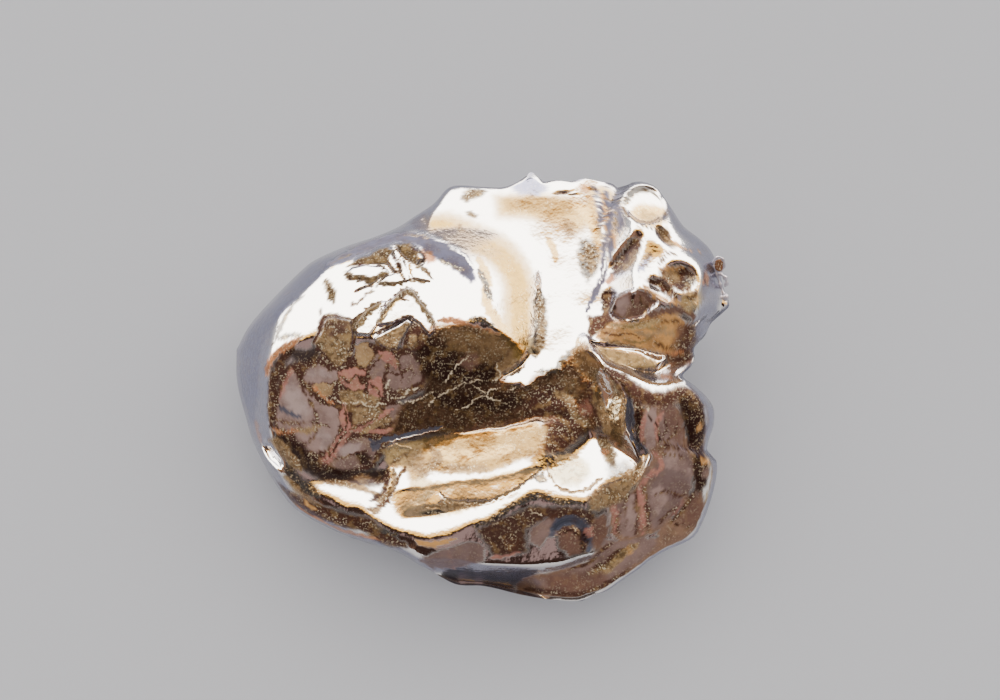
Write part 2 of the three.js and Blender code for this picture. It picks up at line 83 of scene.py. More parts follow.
# Studio: a pale sheet, a broad white bank behind, and dark warm flags in front
studio = {
    "floorColor": (0.66, 0.67, 0.70),
    "floorSize": 3.0,
    "floorRoughness": 0.8,
    "backdrop": (0.62, 0.64, 0.68),
    "dome": (1.09, 1.06, 1.05),  # what dull surfaces are lit by
    "flag": (0.030, 0.010, 0.006),
    "flagGlow": (0.34, 0.22, 0.21),
    "glowTurn": (21, 13),  # degrees from the face's own direction, faint and full
    "side": (0.30, 0.15, 0.09),
    "sideReach": (0.45, 0.8),
    "gold": (2.3, 1.25, 0.28),
    "goldArc": (94.0, 103.0),  # degrees from the front horizon over the top
    "white": (9.0, 8.6, 8.0),
    "whiteArc": (109.0, 124.0),
    "whiteReach": (0.98, 0.85),
}


def addFloor():
    mesh = bpy.data.meshes.new("floorSheet")
    shape = bmesh.new()
    bmesh.ops.create_grid(shape, x_segments=2, y_segments=2, size=studio["floorSize"] / 2)
    shape.to_mesh(mesh)
    shape.free()
    floor = bpy.data.objects.new("floorSheet", mesh)
    bpy.context.scene.collection.objects.link(floor)
    material = bpy.data.materials.new("paleSheet")
    material.use_nodes = True
    shader = material.node_tree.nodes["Principled BSDF"]
    shader.inputs["Base Color"].default_value = (*studio["floorColor"], 1)
    shader.inputs["Roughness"].default_value = studio["floorRoughness"]
    mesh.materials.append(material)


def addWorld():
    world = bpy.data.worlds.new("studioWorld")
    bpy.context.scene.world = world
    world.use_nodes = True
    nodes = world.node_tree.nodes
    links = world.node_tree.links
    nodes.clear()

    def calculated(operation, first, second=None, third=None, clamp=False):
        node = nodes.new("ShaderNodeMath")
        node.operation = operation
        node.use_clamp = clamp
        for socket, value in zip(node.inputs, (first, second, third)):
            if value is None:
                continue
            if isinstance(value, (int, float)):
                socket.default_value = value
            else:
                links.new(value, socket)
        return node.outputs[0]

    def blendRange(value, low, high):
        node = nodes.new("ShaderNodeMapRange")
        node.interpolation_type = "SMOOTHSTEP"
        links.new(value, node.inputs["Value"])
        node.inputs["From Min"].default_value = low
        node.inputs["From Max"].default_value = high
        return node.outputs["Result"]

    def mixColor(share, first, second):
        node = nodes.new("ShaderNodeMix")
        node.data_type = "RGBA"
        links.new(share, node.inputs[0])
        for socket, value in ((node.inputs[6], first), (node.inputs[7], second)):
            if isinstance(value, tuple):
                socket.default_value = (*value, 1)
            else:
                links.new(value, socket)
        return node.outputs[2]

    coords = nodes.new("ShaderNodeTexCoord")
    split = nodes.new("ShaderNodeSeparateXYZ")
    links.new(coords.outputs["Generated"], split.inputs[0])
    east, north, up = split.outputs[0], split.outputs[1], split.outputs[2]
    forward = calculated("MULTIPLY", north, -1.0)
    arc = calculated("MULTIPLY", calculated("ARCTAN2", up, forward), 180 / math.pi)  # 0 front, 180 back
    lean = math.radians(pose["leanBack"])
    tall = calculated("MULTIPLY", up, math.cos(lean))
    facing = calculated("ADD", tall, calculated("MULTIPLY", north, -math.sin(lean)))
    glow = blendRange(facing, *[math.cos(math.radians(turn)) for turn in studio["glowTurn"]])
    color = mixColor(glow, studio["flag"], studio["flagGlow"])
    leftness = calculated("MULTIPLY", east, -1.0)
    color = mixColor(blendRange(leftness, *studio["sideReach"]), color, studio["side"])
    color = mixColor(blendRange(arc, *studio["goldArc"]), color, studio["gold"])
    bank = blendRange(arc, *studio["whiteArc"])
    bank = calculated("MULTIPLY", bank, blendRange(east, *studio["whiteReach"]))
    color = mixColor(bank, color, studio["white"])
    rays = nodes.new("ShaderNodeLightPath")
    color = mixColor(rays.outputs["Is Glossy Ray"], studio["dome"], color)
    color = mixColor(rays.outputs["Is Camera Ray"], color, studio["backdrop"])
    background = nodes.new("ShaderNodeBackground")
    links.new(color, background.inputs["Color"])
    output = nodes.new("ShaderNodeOutputWorld")
    links.new(background.outputs[0], output.inputs[0])


addFloor()
addWorld()
print("stage: studio set")

outline = [
    (-14.9, 2.1), (-14.9, 0.6), (-14.7, -0.6), (-14.3, -2.0), (-13.9, -3.3), (-13.0, -5.1),
    (-12.1, -6.5), (-11.4, -7.3), (-10.5, -7.9), (-9.3, -8.5), (-8.1, -9.0), (-6.9, -9.4), (-5.7, -9.7),
    (-4.8, -10.1), (-4.0, -10.6), (-3.2, -11.0), (-1.7, -11.8), (0, -11.9), (2.1, -12.4), (3.9, -12.7),
    (5.6, -12.8), (6.3, -12.5), (7.2, -12.2), (8.1, -11.6), (9.0, -11.0), (9.9, -10.3), (10.8, -9.8),
    (12.3, -9.1), (12.9, -8.2), (13.3, -7.2), (13.6, -6.2), (13.8, -5.1), (13.7, -4.4), (13.2, -4.1),
    (13.3, -3.3), (13.6, -2.4), (13.6, -1.4), (13.1, -0.6), (12.3, 0.1), (11.6, 0.6), (12.2, 1.0),
    (12.5, 1.7), (12.4, 2.2), (13.1, 2.9), (13.6, 3.9), (14.2, 4.3), (14.6, 4.8), (14.3, 5.6),
    (14.1, 6.5), (13.6, 7.9), (12.9, 8.7), (11.9, 9.5), (11.3, 10.4), (10.7, 11.3), (10.2, 11.9),
    (9.4, 12.2), (8.7, 12.1), (8.2, 11.7), (7.6, 12.1), (6.9, 12.2), (5.9, 12.4), (5.2, 12.2),
    (4.2, 12.3), (3.5, 12.2), (2.8, 12.8), (2.3, 12.4), (1.2, 11.9), (0, 11.9), (-1.5, 12.0),
    (-2.3, 11.8), (-3.1, 10.9), (-4.3, 10.1), (-5.2, 9.5), (-6.6, 8.9), (-8.4, 8.3), (-10.2, 7.5),
    (-11.1, 6.8), (-12.6, 5.3), (-14.1, 3.6),
]

nugget = {
    "sphereSplits": 7,
    "fineShare": 80.0,  # polar angle inside which the mesh is split once more
    "faceShare": 138.0,  # polar angle of the starting sphere that becomes the upper face
    "rollStart": 0.94,
    "rollShare": 0.88,
    "edgeSharpness": 26.0,
    "rimMean": -1.4,
    "rimSwingFront": 3.3,
    "rimSwingSide": 0.9,
    "rimRipple": 0.25,
    "wanderAcross": ((0.10, 4.1, 3),),  # keeps the forms from looking drawn with a ruler
    "wanderAlong": ((0.10, 3.7, 5),),
    "faceWaves": ((0.014, 2.3, 7), (0.005, 1.1, 9)),
    "bellyWaves": ((0.7, 11, 2), (0.3, 5, 6)),
    "bellyFullness": (2.9, 0.9, 0.5),  # higher is boxier: the mean and its broad and fine swings
    "underDepth": 7.3,
    "restLevel": -6.4,
    "spread": 1.008,
    "calmTurns": range(-20, 21, 4),  # degrees to both sides over which the outline is evened out
    "rimDetail": 6,  # how close to the rim the outline's notches stay
    "cleanFrom": 0.985,  # the part of the radius beyond which the flank carries no stain
    # how strongly the steep flanks get a painted lilac reflection
    "flankReflection": 0.85,
    "flankSlope": (-0.68, -0.42),
}


# Joins two heights with a soft edge of the given width
def smoothMin(a, b, blend):
    share = np.clip(0.5 + 0.5 * (b - a) / blend, 0, 1)
    return b + (a - b) * share - blend * share * (1 - share)


def smoothMax(a, b, blend):
    return -smoothMin(-a, -b, blend)


# Goes from 0 to 1 between low and high, with soft ends
def ramp(x, low, high):
    t = np.clip((x - low) / (high - low), 0, 1)
    return t * t * (3 - 2 * t)


# Points on a smooth curve through the given points
def sampled(points, perSpan):
    p = np.array(points, float)
    q = np.vstack([2 * p[0] - p[1], p, 2 * p[-1] - p[-2]])
    t = (np.arange(perSpan) / perSpan)[:, None]
    spans = []
    for i in range(1, len(q) - 2):
        a, b, c, d = q[i - 1], q[i], q[i + 1], q[i + 2]
        curve = 2 * b + (c - a) * t + (2 * a - 5 * b + 4 * c - d) * t**2 + (3 * b - a - 3 * c + d) * t**3
        spans.append(0.5 * curve)
    return np.vstack(spans + [p[-1:]])


# Height at x on a smooth curve of (x, height) points
def profile(x, points):
    curve = sampled(points, 8)
    return np.interp(x, curve[:, 0], curve[:, 1])


# Distance to a path, signed by side, and how far along it the nearest point is
def nearPath(x, y, points):
    curve = sampled(points, 5)
    best = np.full(x.shape, 1e9)
    side = np.ones(x.shape)
    share = np.zeros(x.shape)
    for i, (start, end) in enumerate(zip(curve[:-1], curve[1:])):
        sx, sy = end - start
        t = np.clip(((x - start[0]) * sx + (y - start[1]) * sy) / (sx * sx + sy * sy), 0, 1)
        dx, dy = x - start[0] - t * sx, y - start[1] - t * sy
        away = np.hypot(dx, dy)
        closer = away < best
        best = np.where(closer, away, best)
        side = np.where(closer, np.sign(sx * dy - sy * dx), side)
        share = np.where(closer, (i + t) / (len(curve) - 1), share)
    return best * side, share


# A plane through a point that falls by an angle in degrees toward a bearing
def slope(x, y, point, angle, bearing):
    turn = math.radians(bearing)
    run = (x - point[0]) * math.cos(turn) + (y - point[1]) * math.sin(turn)
    return point[2] - math.tan(math.radians(angle)) * run


# Planes (point, fall, bearing) that meet in a soft edge
def lobe(x, y, blend, facets):
    height = None
    for point, angle, bearing in facets:
        facet = slope(x, y, point, angle, bearing)
        height = facet if height is None else smoothMin(height, facet, blend)
    return height


# A soft mound of height 1
def bump(x, y, at, size, turn=0.0, power=1.0):
    a = math.radians(turn)
    dx, dy = x - at[0], y - at[1]
    p = (dx * math.cos(a) + dy * math.sin(a)) / size[0]
    q = (dy * math.cos(a) - dx * math.sin(a)) / size[1]
    return np.exp(-((p * p + q * q) ** power))


# Uneven waves of about the given size
def swell(x, y, size, seed):
    height = 0
    for i in range(5):
        a = seed * 1.7 + i * 2.4
        pace = 2 * math.pi / (size * (0.7 + 0.15 * i))
        along = x * math.cos(a) + y * math.sin(a)
        across = x * math.sin(a) - y * math.cos(a)
        wander = 0.8 * np.sin(pace * 0.6 * across + i)
        height = height + np.sin(pace * along + seed * 3.1 + i * 1.9 + wander)
    return height / 3.2


# Layers of swell, each with a height in mm, a size in mm and a seed
def waves(x, y, layers):
    return sum(high * swell(x, y, size, seed) for high, size, seed in layers)


# Distance inside an outline, negative outside it
def insideBy(x, y, corners):
    p = np.array(corners, float)
    away = np.full(x.shape, 1e9)
    inside = np.zeros(x.shape, bool)
    for (ax, ay), (bx, by) in zip(p, np.roll(p, -1, 0)):
        ex, ey = bx - ax, by - ay
        t = np.clip(((x - ax) * ex + (y - ay) * ey) / (ex * ex + ey * ey), 0, 1)
        away = np.minimum(away, np.hypot(x - ax - t * ex, y - ay - t * ey))
        if ay != by:
            inside ^= ((ay > y) != (by > y)) & (x < ax + ex * (y - ay) / ey)
    return np.where(inside, away, -away)


# The forms of the upper face: each gives a height in mm at every point
def trough(x, y):
    floor = slope(x, y, (3.0, 0.75, 1.5), 31, 97)
    endWall = slope(x, y, (3, 9.6, -3.1), 24, 98) - 0.35 * np.maximum(0.8 - x, 0)
    shelf = lobe(x, y, 0.4, [((-2.5, 9.3, -2.2), 32, 57), ((-3.4, 9.4, -2.0), 60, 150)])
    away, share = nearPath(x, y, [(-4.5, 9.8), (-1.5, 8.9), (0.6, 7.9), (1.7, 6.8), (2.1, 5.3),
        (2.2, 3.5), (2.4, 1.5)])
    height = smoothMax(smoothMax(floor, endWall, 0.7), shelf, 0.5)
    height = height - 0.10 * np.exp(-(((away - 0.2) / 0.5) ** 2)) * ramp(1 - share, 0, 0.3)
    return height - 0.08 * ridgeLine(x, y, [(3.4, 7.0), (3.3, 5.0), (3.4, 3.0), (3.2, 1.6)], 0.4)


# A soft ridge of height 1 along a path, fading at both ends
def ridgeLine(x, y, points, width):
    away, share = nearPath(x, y, points)
    return np.exp(-((away / width) ** 2)) * ramp(share, 0, 0.2) * ramp(1 - share, 0, 0.2)


def basin(x, y):
    return lobe(x, y, 0.5, [((2.4, 0.0, 1.7), 9, -75), ((4.4, 1.6, 1.6), 20, -35)])


def shoulder(x, y):
    return lobe(x, y, 0.4, [
        ((7.0, -0.9, 2.0), 28, 82), ((7.0, -2.3, 2.6), 8, 84), ((6.5, 0, 1.7), 28, 198),
        ((7.95, 0, 1.9), 30, -12),
    ])


def leftLobe(x, y):
    return lobe(x, y, 0.34, [
        ((-9, -1, 3.0), 2, -90),
        ((-1.4, 3.9, 3.0), 16, -45),
        ((-6, 3.3, 3.0), 33, 92),
        ((-11.6, 2.9, 2.9), 34, 128),
        ((0, 4.2, 2.7), 30, 62),
        ((-9.5, 6.7, 1.05), 62, 122),
        ((-6.5, 7.9, 0.25), 62, 102),
        ((-3.4, 8.1, 0.15), 60, 84),
        ((-1.2, 7.4, 0.35), 49, 66),
        ((0.4, 5.0, 1.9), 45, 40),
        ((1.1, 3.0, 2.35), 45, 26),
        ((-13.1, 0, 2.6), 66, 182),
        ((-12.75, 2.8, 2.3), 62, 158),
        ((-13.0, -3, 2.6), 62, 205),
        ((-6, -5.4, 3.0), 7, -90),
    ])


def innerFold(x, y):
    edge = profile(x, [(-8, -3.9), (-6, -3.75), (-4.5, -3.35), (-2, -2.95), (-0.5, -2.85), (1.3, -2.5),
        (3, -2.1), (3.8, -2.2), (6, -2.6)])
    rise = profile(edge - y + 0.06 * swell(x, y, 1.6, 41), [
        (-16, -12), (-3, -1.2), (-0.3, 0.0), (0.0, 0.28), (0.4, 0.46), (1.2, 0.89), (2.3, 1.46),
        (2.75, 1.74), (3.1, 1.84), (3.9, 2.12), (4.3, 2.12), (4.6, 1.93), (5.6, 1.0), (8, -3),
    ])
    height = smoothMin(1.34 + rise, slope(x, y, (-5.4, -4.7, 2.5), 34, 158), 0.3)
    return smoothMin(height, slope(x, y, (4.5, -4.0, 2.1), 28, 10), 0.4)


def frontRoll(x, y):
    line = profile(x, [
        (-14, -2.6), (-13.2, -3.7), (-12.2, -5.0), (-11, -6.1), (-10, -6.6), (-8.5, -7.1), (-7.3, -7.4),
        (-6.6, -8.0), (-5.8, -8.6), (-5, -8.9), (-3.5, -9.1), (-2, -8.8), (-1, -8.4), (0, -8.05),
        (1, -7.5), (2, -7.0), (3, -6.6), (4, -6.8), (5, -6.9), (6, -6.9), (6.6, -6.4), (7.5, -5.8),
        (9, -5.3), (14, -3),
    ])
    crest = profile(x, [
        (-14, 2.0), (-13, 2.5), (-11, 3.05), (-8, 3.5), (-6.6, 3.75), (-5, 4.1), (-2.5, 4.3), (0, 4.1),
        (3, 3.7), (5.5, 3.4), (7.2, 3.1), (8.7, 2.9), (9.4, 2.2), (10.5, 0.5), (14, -4),
    ])
    behind = y - line
    fallBack = crest - math.tan(math.radians(34)) * (behind - 0.15)
    top = smoothMin(fallBack, crest + 0.05 * behind, 0.4)
    under = lobe(x, y, 0.3, [((0, -10.5, 4.0), 66, -92), ((5.8, -10.0, 3.5), 60, -75)])
    leftEnd = lobe(x, y, 0.3, [((-12.9, -4.2, 2.4), 64, 202), ((-13.2, -3.2, 2.2), 60, 150)])
    height = smoothMin(smoothMin(top, under, 0.25), leftEnd, 0.3)
    corner = ridgeLine(x, y, [(-13.5, -3.5), (-13.0, -4.2), (-12.4, -4.9), (-11.8, -5.5)], 0.38)
    return height + 0.3 * corner


def lowerLip(x, y):
    return lobe(x, y, 0.3, [
        ((5.5, -11.8, 2.25), 10, -60), ((3.0, -11.7, 2.1), 62, 215), ((9, -9.4, 2.65), 40, 100),
    ])


def crater(x, y):
    groove = 0.45 * ridgeLine(x, y, [(3.8, -8.9), (4.1, -8.4), (4.6, -8.05), (5.2, -8.0), (5.8, -8.4),
        (6.1, -9.2), (6.2, -9.9)], 0.2)
    mound = 0.18 * bump(x, y, (5.0, -9.2), (0.8, 0.7), -10, 1.6)
    bead = 0.30 * bump(x, y, (6.2, -8.7), (0.28, 0.28), 0, 1.2)
    return bead + mound - groove


def lip(x, y):
    line = profile(-y, [
        (-14, 4.9), (-7, 5.1), (-5, 5.25), (-4.0, 5.4), (-2.7, 6.15), (-2.0, 6.3), (-1.1, 7.0),
        (-0.4, 7.7), (0.3, 8.2), (0.9, 8.45), (2.2, 8.35), (3.0, 8.6), (4.4, 9.3), (6, 10),
    ])
    crest = profile(-y, [
        (-14, -9), (-7, -3.6), (-5, -2.0), (-4.0, -1.2), (-3.2, 0.2), (-2.6, 1.2), (-1.2, 2.1),
        (0, 2.55), (1.5, 2.85), (3.0, 2.85), (4.4, 2.5), (6, 2.0),
    ])
    right = x - line
    outer = crest - 0.45 + math.tan(math.radians(42)) * (right + 0.7)
    west = smoothMin(crest + 0.5 * (right + 0.1), outer, 0.2)
    return smoothMin(west, crest - math.tan(math.radians(58)) * right, 0.12)


def apron(x, y):
    edge = profile(x, [(5, -0.5), (6, 1.3), (6.7, 1.3), (7.5, 0.6), (8.5, 0.2), (9.8, -0.35),
        (10.5, -0.45), (11.3, -0.25), (12, -0.15), (12.8, -0.5), (13.4, -1.2), (14, -2)])
    over = y - edge
    roll = 2.85 - profile(over, [(-9, 0), (-2.1, 0), (-1.3, 0.09), (-0.6, 0.25), (-0.1, 0.43),
        (0.3, 0.73), (0.8, 1.32), (3, 5), (20, 32)])
    plate = lobe(x, y, 0.22, [
        ((10.5, -3, 2.8), 2.5, -60),
        ((11.5, -2.2, 2.78), 13, -5),
        ((12.8, -2.5, 2.45), 34, 0),
        ((13.3, -3, 2.2), 55, 5),
        ((12.3, -7.0, 2.75), 15, -35),
        ((12.9, -7.9, 2.4), 38, -38),
        ((10, -9.2, 2.8), 12, -65),
    ])
    west = profile(-y, [
        (-6, 9.5), (-3.4, 7.0), (-2.7, 6.3), (-2.0, 6.6), (-1.1, 7.3), (-0.4, 7.9), (0.3, 8.45),
        (0.9, 8.75), (2.2, 8.9), (3.2, 9.1), (3.9, 9.7), (4.6, 9.6), (5.4, 9.2), (6.2, 8.6), (7.0, 7.7),
        (8, 7.3), (9.5, 7.0), (12, 7.0),
    ])
    plate = smoothMin(plate, 2.7 + math.tan(math.radians(58)) * (x - west - 0.1), 0.2)
    return smoothMin(roll, plate, 0.2)


def knobs(x, y):
    body = lobe(x, y, 0.35, [
        ((10, 5.2, 1.8), 25, 86),
        ((13.2, 6.5, 0.7), 55, 12),
        ((12.2, 8.4, 0.2), 48, 48),
        ((10, 4.3, 2.1), 33, -82),
        ((8.0, 4.3, 1.8), 30, -105),
        ((7.0, 7.0, -1.75), 55, 162),
        ((12.5, 4.2, 1.9), 64, -25),
    ])
    height = body + 0.65 * bump(x, y, (11.85, 6.6), (1.45, 1.4), 0, 2.2)
    height = height - 0.95 * bump(x, y, (11.6, 6.45), (0.95, 0.68), -30, 1.4)
    height = height - 0.62 * bump(x, y, (8.45, 7.75), (1.35, 0.48), 52, 1.6)
    height = height - 0.5 * bump(x, y, (10.8, 8.85), (0.7, 0.26), -48, 1.5)
    height = height + 0.12 * ridgeLine(x, y, [(8.4, 9.9), (9.2, 9.3), (10.2, 8.6), (11.2, 8.1),
        (12.4, 8.0)], 0.45)
    height = height - 0.30 * bump(x, y, (7.45, 5.05), (0.35, 0.6), 0, 1.6)
    height = height - 0.45 * ridgeLine(x, y, [(9.7, 6.3), (10.7, 5.8), (11.4, 5.3)], 0.28)
    return height + 0.25 * ridgeLine(x, y, [(9.3, 6.0), (10.4, 5.15), (11.6, 4.8)], 0.22)


def makeInset(point, fall, bearing, edge, *corners):
    return {"corners": list(corners), "point": point, "fall": fall, "bearing": bearing, "edge": edge}


def makeChip(lift, fall, bearing, edge, *corners):
    return {"corners": list(corners), "lift": lift, "fall": fall, "bearing": bearing, "edge": edge}


# Flat faces let into the surface: a point on the face, its fall and bearing, edge width, corners
insets = [
    makeInset((8.7, 1.7, 1.0), 20, 100, 0.1, (6.3, 2.6), (7.3, 2.35), (9.2, 2.1), (10.3, 1.65),
        (10.8, 1.6), (10.3, 0.95), (9, 1.0), (8, 1.2), (7.2, 1.6)),
    makeInset((8.8, 4.9, 1.5), 5, -60, 0.08, (7.8, 5.2), (8.5, 5.6), (9.3, 5.8), (9.7, 5.5), (10.35, 5.0),
        (9.9, 4.6), (9.5, 4.1), (8.2, 3.9), (7.5, 4.4)),
    makeInset((3.0, 0.75, 1.5), 31, 97, 0.22, (2.7, 2.1), (2.1, 1.35), (1.6, 1.0), (1.05, 0.7),
        (0.95, 0.35), (1.3, 0.1), (1.7, 0.0), (2.1, 0.05), (2.4, -0.25), (2.8, -0.1), (3.2, 0.35),
        (3.6, 0.4), (4.0, 0.75), (4.5, 0.9), (4.0, 1.8)),
    makeInset((-12.75, -4.3, 1.95), 36, 118, 0.12, (-13.35, -3.6), (-12.95, -3.65), (-12.1, -4.6),
        (-12.2, -4.95), (-12.85, -4.5)),
]

# Chips raised on the left lobe: lift above it, fall and bearing of the top, edge width, corners
chips = [
    makeChip(0.3, 9, -80, 0.08, (-9.5, 3.9), (-9.2, 4.05), (-8.0, 3.85), (-8.0, 3.45), (-7.85, 3.1),
        (-7.9, 2.5), (-8.1, 2.0), (-8.3, 1.4), (-8.75, 1.05), (-9.3, 1.55), (-9.7, 2.1), (-10.1, 2.5),
        (-9.9, 2.9), (-9.7, 3.2)),
    makeChip(0.4, 27, 88, 0.08, (-6.35, 3.6), (-6.3, 4.3), (-5.7, 4.9), (-5.0, 5.6), (-4.6, 5.8),
        (-4.3, 5.6), (-3.8, 4.9), (-3.3, 4.3), (-3.05, 3.9), (-3.05, 3.2), (-3.3, 2.85), (-3.4, 3.1),
        (-3.9, 3.7), (-4.5, 4.05), (-5.4, 3.75)),
    makeChip(0.22, 12, 100, 0.07, (-6.6, 2.8), (-6.0, 3.15), (-5.2, 3.55), (-4.6, 3.95), (-4.35, 3.75),
        (-4.9, 2.9), (-5.2, 2.1), (-5.6, 2.15), (-6.2, 2.4)),
    makeChip(0.15, 14, 60, 0.06, (-4.5, 3.0), (-4.1, 3.05), (-4.0, 2.7), (-4.3, 2.2), (-4.6, 2.3)),
    makeChip(0.25, 28, 70, 0.07, (-7.85, 3.35), (-7.5, 3.9), (-7.0, 4.5), (-6.2, 4.95), (-5.9, 5.0),
        (-6.1, 4.5), (-6.5, 3.5), (-6.9, 3.0), (-7.6, 3.05)),
    makeChip(0.35, 33, 95, 0.07, (-8.3, 6.7), (-8.0, 7.0), (-7.2, 7.2), (-6.4, 7.1), (-5.9, 6.85),
        (-5.75, 6.7), (-6.2, 6.55), (-6.5, 6.3), (-6.9, 6.0), (-7.0, 6.3), (-7.5, 6.5), (-7.9, 6.4)),
    makeChip(0.22, 33, 80, 0.06, (-6.35, 6.1), (-5.9, 6.5), (-5.3, 6.7), (-4.9, 6.5), (-4.8, 6.25),
        (-5.5, 6.05)),
    makeChip(0.3, 32, 70, 0.06, (-5.95, 7.8), (-5.6, 7.95), (-5.3, 7.3), (-5.1, 6.9), (-5.15, 6.65),
        (-5.5, 6.85), (-5.9, 7.4)),
    makeChip(0.28, 33, 60, 0.06, (-5.1, 7.8), (-4.8, 7.3), (-4.6, 6.8), (-4.5, 6.3), (-4.75, 6.2),
        (-5.0, 6.6), (-5.15, 7.2)),
    makeChip(0.16, 33, 80, 0.06, (-4.6, 7.4), (-3.6, 7.1), (-3.2, 6.5), (-3.3, 6.2), (-4.3, 6.4)),
    makeChip(0.45, 20, 140, 0.08, (-5.4, 8.4), (-4.6, 8.5), (-4.0, 8.1), (-3.6, 7.6), (-4.0, 7.2),
        (-4.4, 7.3), (-5.0, 7.9)),
    makeChip(0.3, 24, 110, 0.08, (-8.2, 7.15), (-7.6, 7.6), (-6.9, 7.75), (-6.4, 8.15), (-5.9, 8.25),
        (-5.5, 8.1), (-5.9, 7.35), (-6.5, 7.3), (-7.3, 7.2)),
    makeChip(0.12, 36, 90, 0.05, (-7.8, 5.6), (-7.6, 6.2), (-7.2, 6.4), (-7.0, 5.95)),
]


def withInsets(x, y, height):
    for inset in insets:
        share = ramp(insideBy(x, y, inset["corners"]), -inset["edge"], inset["edge"])
        level = slope(x, y, inset["point"], inset["fall"], inset["bearing"])
        height = height + (level - height) * share
    for chip in chips:
        middle = np.mean(chip["corners"], 0)
        ground = float(leftLobe(middle[:1], middle[1:])[0])
        level = slope(x, y, (*middle, ground + chip["lift"]), chip["fall"], chip["bearing"])
        share = ramp(insideBy(x, y, chip["corners"]), -chip["edge"], chip["edge"])
        height = height + (level - height) * share
    return height


# Tones by name: tint, dullness, grit. Most are stains and crusts; some are painted light, shade or
# reflection, noted at their entries
tones = {
    "clean": ((0.93, 0.90, 0.86), 0.0, 0.0),
    "cream": ((0.55, 0.37, 0.15), 0.10, 0.25),
    "tan": ((0.40, 0.25, 0.07), 0.12, 0.20),
    "gold": ((0.70, 0.36, 0.12), 0.85, 0.18),
    "ochre": ((0.46, 0.29, 0.14), 0.80, 0.15),
    "tawny": ((0.25, 0.145, 0.095), 0.85, 0.15),
    "dusk": ((0.17, 0.090, 0.065), 0.80, 0.12),
    "olive": ((0.34, 0.22, 0.11), 0.75, 0.80),
    "bronze": ((0.19, 0.105, 0.060), 0.25, 0.55),
    # a painted golden sheen
    "sheen": ((0.30, 0.185, 0.09), 0.50, 0.35),
    "brown": ((0.075, 0.030, 0.018), 0.75, 0.55),
    "black": ((0.025, 0.009, 0.007), 0.60, 0.30),
    "umber": ((0.075, 0.030, 0.020), 0.90, 0.50),
    "mauve": ((0.335, 0.225, 0.195), 0.90, 0.05),
    "plum": ((0.235, 0.152, 0.130), 0.92, 0.08),
    "moss": ((0.23, 0.15, 0.070), 0.90, 0.80),
    "pink": ((0.44, 0.19, 0.145), 0.90, 0.20),
    "orange": ((0.62, 0.25, 0.10), 0.92, 0.35),
    "smoke": ((0.12, 0.11, 0.10), 0.35, 1.0),
    # a painted bluish reflection, laid on as a tint of the silver
    "lilacReflection": ((0.25, 0.255, 0.37), 0.15, 0.15),
    # a painted bluish reflection, laid on as a dull colour
    "lavenderReflection": ((0.26, 0.255, 0.36), 1.0, 0.12),
    # a painted highlight, laid on as a dull near-white
    "pearlHighlight": ((0.98, 0.94, 0.86), 0.85, 0.0),
    # painted shade and dark bluish reflection for cracks, crevices and overhangs
    "slateShade": ((0.085, 0.090, 0.120), 0.90, 0.0),
    "parchment": ((0.98, 0.78, 0.45), 0.85, 0.15),
    "amber": ((0.34, 0.21, 0.07), 0.35, 0.25),
    "honey": ((0.60, 0.40, 0.17), 0.75, 0.45),
    "linen": ((0.70, 0.55, 0.32), 0.25, 0.20),
    "frost": ((0.55, 0.48, 0.33), 0.12, 0.60),
    "fawn": ((0.27, 0.19, 0.10), 0.20, 0.55),
    "rust": ((0.26, 0.11, 0.045), 0.90, 0.45),
    "heather": ((0.165, 0.110, 0.100), 0.92, 0.08),
    # a painted highlight on the mauve skin
    "ashHighlight": ((0.45, 0.335, 0.305), 0.85, 0.04),
    # a painted pale lilac reflection and highlight, used on the threads and beads
    "mistReflection": ((0.62, 0.58, 0.64), 0.50, 0.0),
}


def patch(tone, amount, edge, *corners, **extra):
    return tone, amount, {"area": list(corners), "edge": edge, **extra}


def streak(tone, amount, width, *points, **extra):
    return tone, amount, {"line": list(points), "width": width, **extra}


# Areas that are stained twice
farNotch = [(-1.4, 11.3), (-1.0, 11.9), (0.0, 11.8), (-0.1, 11.5), (-0.8, 11.3), (-1.1, 11.1)]
farPit = [(-1.1, 10.4), (-0.8, 10.5), (-0.5, 10.2), (-0.8, 10.1)]
